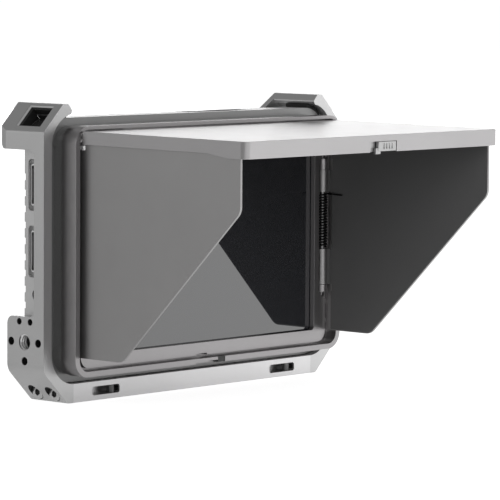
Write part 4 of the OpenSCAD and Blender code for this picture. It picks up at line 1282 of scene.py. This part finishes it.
@dataclass(frozen=True)
class Hood(Assembly):
    """Base frame, lid, latch and the two side flaps.

    Attributes:
        frame_break: Edge break of the base frame.
        lid_break: Edge break of the lid.
        latch_break: Edge break of the latch's slider.
        flap_break: Edge break of the flaps.
        right_hinge_y: Y of the right flap's hinge.
        left_hinge_y: Y of the left flap's hinge, which lies deeper.
        travel: How far the latch slides.
        spring_r: Outer radius of its spring.
        wire: Thickness of the spring's wire.
        turns: Windings of the spring.
    """

    frame_break: float = 0.3 * MM
    lid_break: float = 0.25 * MM
    latch_break: float = 0.12 * MM
    flap_break: float = 0.45 * MM
    right_hinge_y: float = -15.4 * MM
    left_hinge_y: float = -13.95 * MM
    travel: float = 3 * MM
    spring_r: float = 0.78 * MM
    wire: float = 0.24 * MM
    turns: int = 12

    def dresses(self) -> list[Dress]:
        """List the hood's nodes.

        Returns:
            The nodes with their finishes.
        """
        return [
            Dress("hood_frame", HOOD, "hood_metal", self.frame_break),
            Dress("screen_gasket", RUBBER, "rubber"),
            Dress("frame_screws", SCREW, "screw_steel"),
            Dress("catch_block", CATCH, "catch_plastic"),
            Dress("lid_stops", SCREW, "screw_steel"),
            Dress("lid", LID, "lid_metal", self.lid_break),
            Dress("lid_film", FILM, "dark_film"),
            Dress("lid_pins", PIN, "pin_steel"),
            Dress("latch_case", LATCH, "latch_metal"),
            Dress("latch_slider", LATCH, "latch_metal", self.latch_break),
            Dress("flap_left", FLAP, "flap_metal", self.flap_break),
            Dress("flap_right", FLAP, "flap_metal", self.flap_break),
            Dress("flap_film_left", FILM, "dark_film"),
            Dress("flap_film_right", FILM, "dark_film"),
            Dress("flap_pin_left", PIN, "pin_steel"),
            Dress("flap_pin_right", PIN, "pin_steel"),
            Dress("flap_spring_left", WIRE, "spring_steel"),
            Dress("flap_spring_right", WIRE, "spring_steel"),
        ]

    def build(self) -> list[bpy.types.Object]:
        """Line the flaps beside their hinges, and wind the latch's spring.

        Returns:
            The linings and the spring.
        """
        low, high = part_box("latch_spring")
        spring = Coil("latch_spring", "latch_slide", self.travel, self.spring_r - self.wire / 2, self.wire,
                      self.turns, ((low + high) / 2,), Vector((1, 0, 0)))
        return [HingeLining(Side.RIGHT, self.right_hinge_y).build(),
                HingeLining(Side.LEFT, self.left_hinge_y).build(), spring.build()]


@dataclass(frozen=True)
class Panel:
    """A soft light panel that faces the object.

    Attributes:
        name: The panel's name.
        place: Where its middle stands.
        width: Its width.
        height: Its height.
        glow: How bright its face is, where 1 is white.
        mirrored: Whether polished surfaces mirror it.
        target: The point that it faces.
    """

    name: str
    place: Point
    width: float
    height: float
    glow: float
    mirrored: bool = True
    target: Point = (0, -0.03, 0.06)

    def build(self) -> None:
        """Set the panel up."""
        data = bpy.data.lights.new(self.name, "AREA")
        data.shape = "RECTANGLE"
        data.size = self.width
        data.size_y = self.height
        data.energy = self.glow * math.pi * self.width * self.height
        lamp = bpy.data.objects.new(self.name, data)
        lamp.location = self.place
        aim = Vector(self.target) - Vector(self.place)
        lamp.rotation_euler = aim.to_track_quat("-Z", "Y").to_euler()
        lamp.visible_camera = False
        lamp.visible_glossy = self.mirrored
        bpy.context.scene.collection.objects.link(lamp)


@dataclass(frozen=True)
class Studio:
    """Camera, lamps, floor and backdrop.

    Attributes:
        eye: Where the camera stands.
        yaw: Its turn from looking along +Y to its right, in degrees.
        pitch: How far it looks down, in degrees.
        roll: Its roll, in degrees.
        lens: Focal length in millimetres.
        film_width: Width of its picture plane in millimetres.
        sight: How far it sees.
        floor_size: Length of the floor's sides.
        floor_drop: How far the floor lies below the object.
        floor_grey: Colour of the floor.
        floor_roughness: Its roughness.
        floor_lift: How much the floor glows for the camera.
        glow_way: The way across the floor that its glow grows along, in mirrored views.
        glow_from: Where along that way it starts to grow.
        glow_to: Where it has grown full.
        glow_low: Its least strength.
        glow_high: Its full strength.
        sky_glow: How bright the surroundings are, other than for the camera.
        panels: The soft light panels.
    """

    eye: Point = (-1.02032, -0.95726, 0.17143)
    yaw: float = 48.0
    pitch: float = 4.76
    roll: float = 0.36
    lens: float = 251.28
    film_width: float = 36
    sight: float = 50
    floor_size: float = 60.0
    floor_drop: float = 0.0002
    floor_grey: float = 0.8
    floor_roughness: float = 0.9
    floor_lift: float = 0.8
    glow_way: Point = (0.74, -0.67, 0)
    glow_from: float = -0.15
    glow_to: float = 0.15
    glow_low: float = 0.12
    glow_high: float = 0.95
    sky_glow: float = 0.28
    panels: tuple[Panel, ...] = (
        Panel("front_panel", (1.6, -1.5, 0.6), 2.0, 1.2, 0.8),
        Panel("fill_panel", (-1.5, -1.9, 1.0), 2.4, 1.6, 1.4, mirrored=False),
        Panel("back_panel", (1.9, 1.7, 0.42), 2.6, 0.8, 2.6),
        Panel("left_panel", (-1.9, 1.3, 0.6), 1.2, 1.2, 0.65),
        Panel("top_panel", (0.4, -1.3, 1.9), 1.2, 1.2, 1.0),
    )

    def camera(self) -> None:
        """Set the camera up where the photograph was taken."""
        data = bpy.data.cameras.new("camera")
        data.lens = self.lens
        data.sensor_width = self.film_width
        data.clip_end = self.sight
        camera = bpy.data.objects.new("camera", data)
        turn = (Matrix.Rotation(math.radians(-self.yaw), 4, "Z")
                @ Matrix.Rotation(math.radians(90 - self.pitch), 4, "X")
                @ Matrix.Rotation(math.radians(self.roll), 4, "Z"))
        camera.matrix_world = Matrix.Translation(self.eye) @ turn
        bpy.context.scene.collection.objects.link(camera)
        bpy.context.scene.camera = camera

    def floor(self) -> None:
        """Lay the pale floor, which takes shadows and also glows where it's seen or mirrored."""
        mesh = bpy.data.meshes.new("floor")
        half = self.floor_size / 2
        corners = [(-half, -half, 0), (half, -half, 0), (half, half, 0), (-half, half, 0)]
        mesh.from_pydata(corners, [], [(0, 1, 2, 3)])
        floor = bpy.data.objects.new("floor", mesh)
        floor.location.z = CAD_BOX[0][2] - self.floor_drop
        bpy.context.scene.collection.objects.link(floor)
        material = bpy.data.materials.new("floor_paint")
        material.use_nodes = True
        tree = material.node_tree
        shader = tree.nodes["Principled BSDF"]
        shader.inputs["Base Color"].default_value = (self.floor_grey, self.floor_grey, self.floor_grey, 1)
        shader.inputs["Roughness"].default_value = self.floor_roughness
        shader.inputs["Specular IOR Level"].default_value = 0.0
        lift = tree.nodes.new("ShaderNodeEmission")
        tree.links.new(self._glow(tree), lift.inputs["Strength"])
        shade = tree.nodes.new("ShaderNodeAddShader")
        path = tree.nodes.new("ShaderNodeLightPath")
        mix = tree.nodes.new("ShaderNodeMixShader")
        tree.links.new(shader.outputs["BSDF"], shade.inputs[0])
        tree.links.new(lift.outputs["Emission"], shade.inputs[1])
        seen = tree.nodes.new("ShaderNodeMath")
        seen.operation = "MAXIMUM"
        tree.links.new(path.outputs["Is Camera Ray"], seen.inputs[0])
        tree.links.new(path.outputs["Is Glossy Ray"], seen.inputs[1])
        tree.links.new(seen.outputs["Value"], mix.inputs["Fac"])
        tree.links.new(shader.outputs["BSDF"], mix.inputs[1])
        tree.links.new(shade.outputs["Shader"], mix.inputs[2])
        tree.links.new(mix.outputs["Shader"], tree.nodes["Material Output"].inputs["Surface"])
        mesh.materials.append(material)

    def _glow(self, tree: bpy.types.NodeTree) -> bpy.types.NodeSocket:
        """Let the floor glow more towards the front panel, but evenly for the camera.

        Args:
            tree: The floor's node tree.

        Returns:
            Socket with the strength of the glow.
        """
        place = tree.nodes.new("ShaderNodeNewGeometry").outputs["Position"]
        along = tree.nodes.new("ShaderNodeVectorMath")
        along.operation = "DOT_PRODUCT"
        along.inputs[1].default_value = self.glow_way
        tree.links.new(place, along.inputs[0])
        ramp = tree.nodes.new("ShaderNodeMapRange")
        ramp.interpolation_type = "SMOOTHSTEP"
        ramp.inputs["From Min"].default_value = self.glow_from
        ramp.inputs["From Max"].default_value = self.glow_to
        ramp.inputs["To Min"].default_value = self.glow_low
        ramp.inputs["To Max"].default_value = self.glow_high
        tree.links.new(along.outputs["Value"], ramp.inputs["Value"])
        path = tree.nodes.new("ShaderNodeLightPath")
        mix = tree.nodes.new("ShaderNodeMix")
        tree.links.new(path.outputs["Is Camera Ray"], mix.inputs["Factor"])
        tree.links.new(ramp.outputs["Result"], mix.inputs["A"])
        mix.inputs["B"].default_value = self.floor_lift
        return mix.outputs["Result"]

    def sky(self) -> None:
        """Light the surroundings, and show the camera white."""
        world = bpy.data.worlds.new("sky")
        world.use_nodes = True
        bpy.context.scene.world = world
        tree = world.node_tree
        plain = tree.nodes["Background"]
        plain.inputs["Color"].default_value = (1, 1, 1, 1)
        plain.inputs["Strength"].default_value = self.sky_glow
        white = tree.nodes.new("ShaderNodeBackground")
        white.inputs["Color"].default_value = (1, 1, 1, 1)
        white.inputs["Strength"].default_value = 1.0
        path = tree.nodes.new("ShaderNodeLightPath")
        mix = tree.nodes.new("ShaderNodeMixShader")
        tree.links.new(path.outputs["Is Camera Ray"], mix.inputs["Fac"])
        tree.links.new(plain.outputs["Background"], mix.inputs[1])
        tree.links.new(white.outputs["Background"], mix.inputs[2])
        tree.links.new(mix.outputs["Shader"], tree.nodes["World Output"].inputs["Surface"])

    def build(self) -> None:
        """Set up the whole studio."""
        self.camera()
        self.floor()
        self.sky()
        for panel in self.panels:
            panel.build()
        bpy.context.scene.view_settings.view_transform = "Standard"


def main() -> None:
    """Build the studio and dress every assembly."""
    logging.basicConfig(level=logging.INFO, format="%(message)s")
    Studio().build()
    for assembly in (Cage(), MonitorBody(), BatteryBack(), Hood()):
        assembly.assemble()


if __name__ == "__main__":
    main()
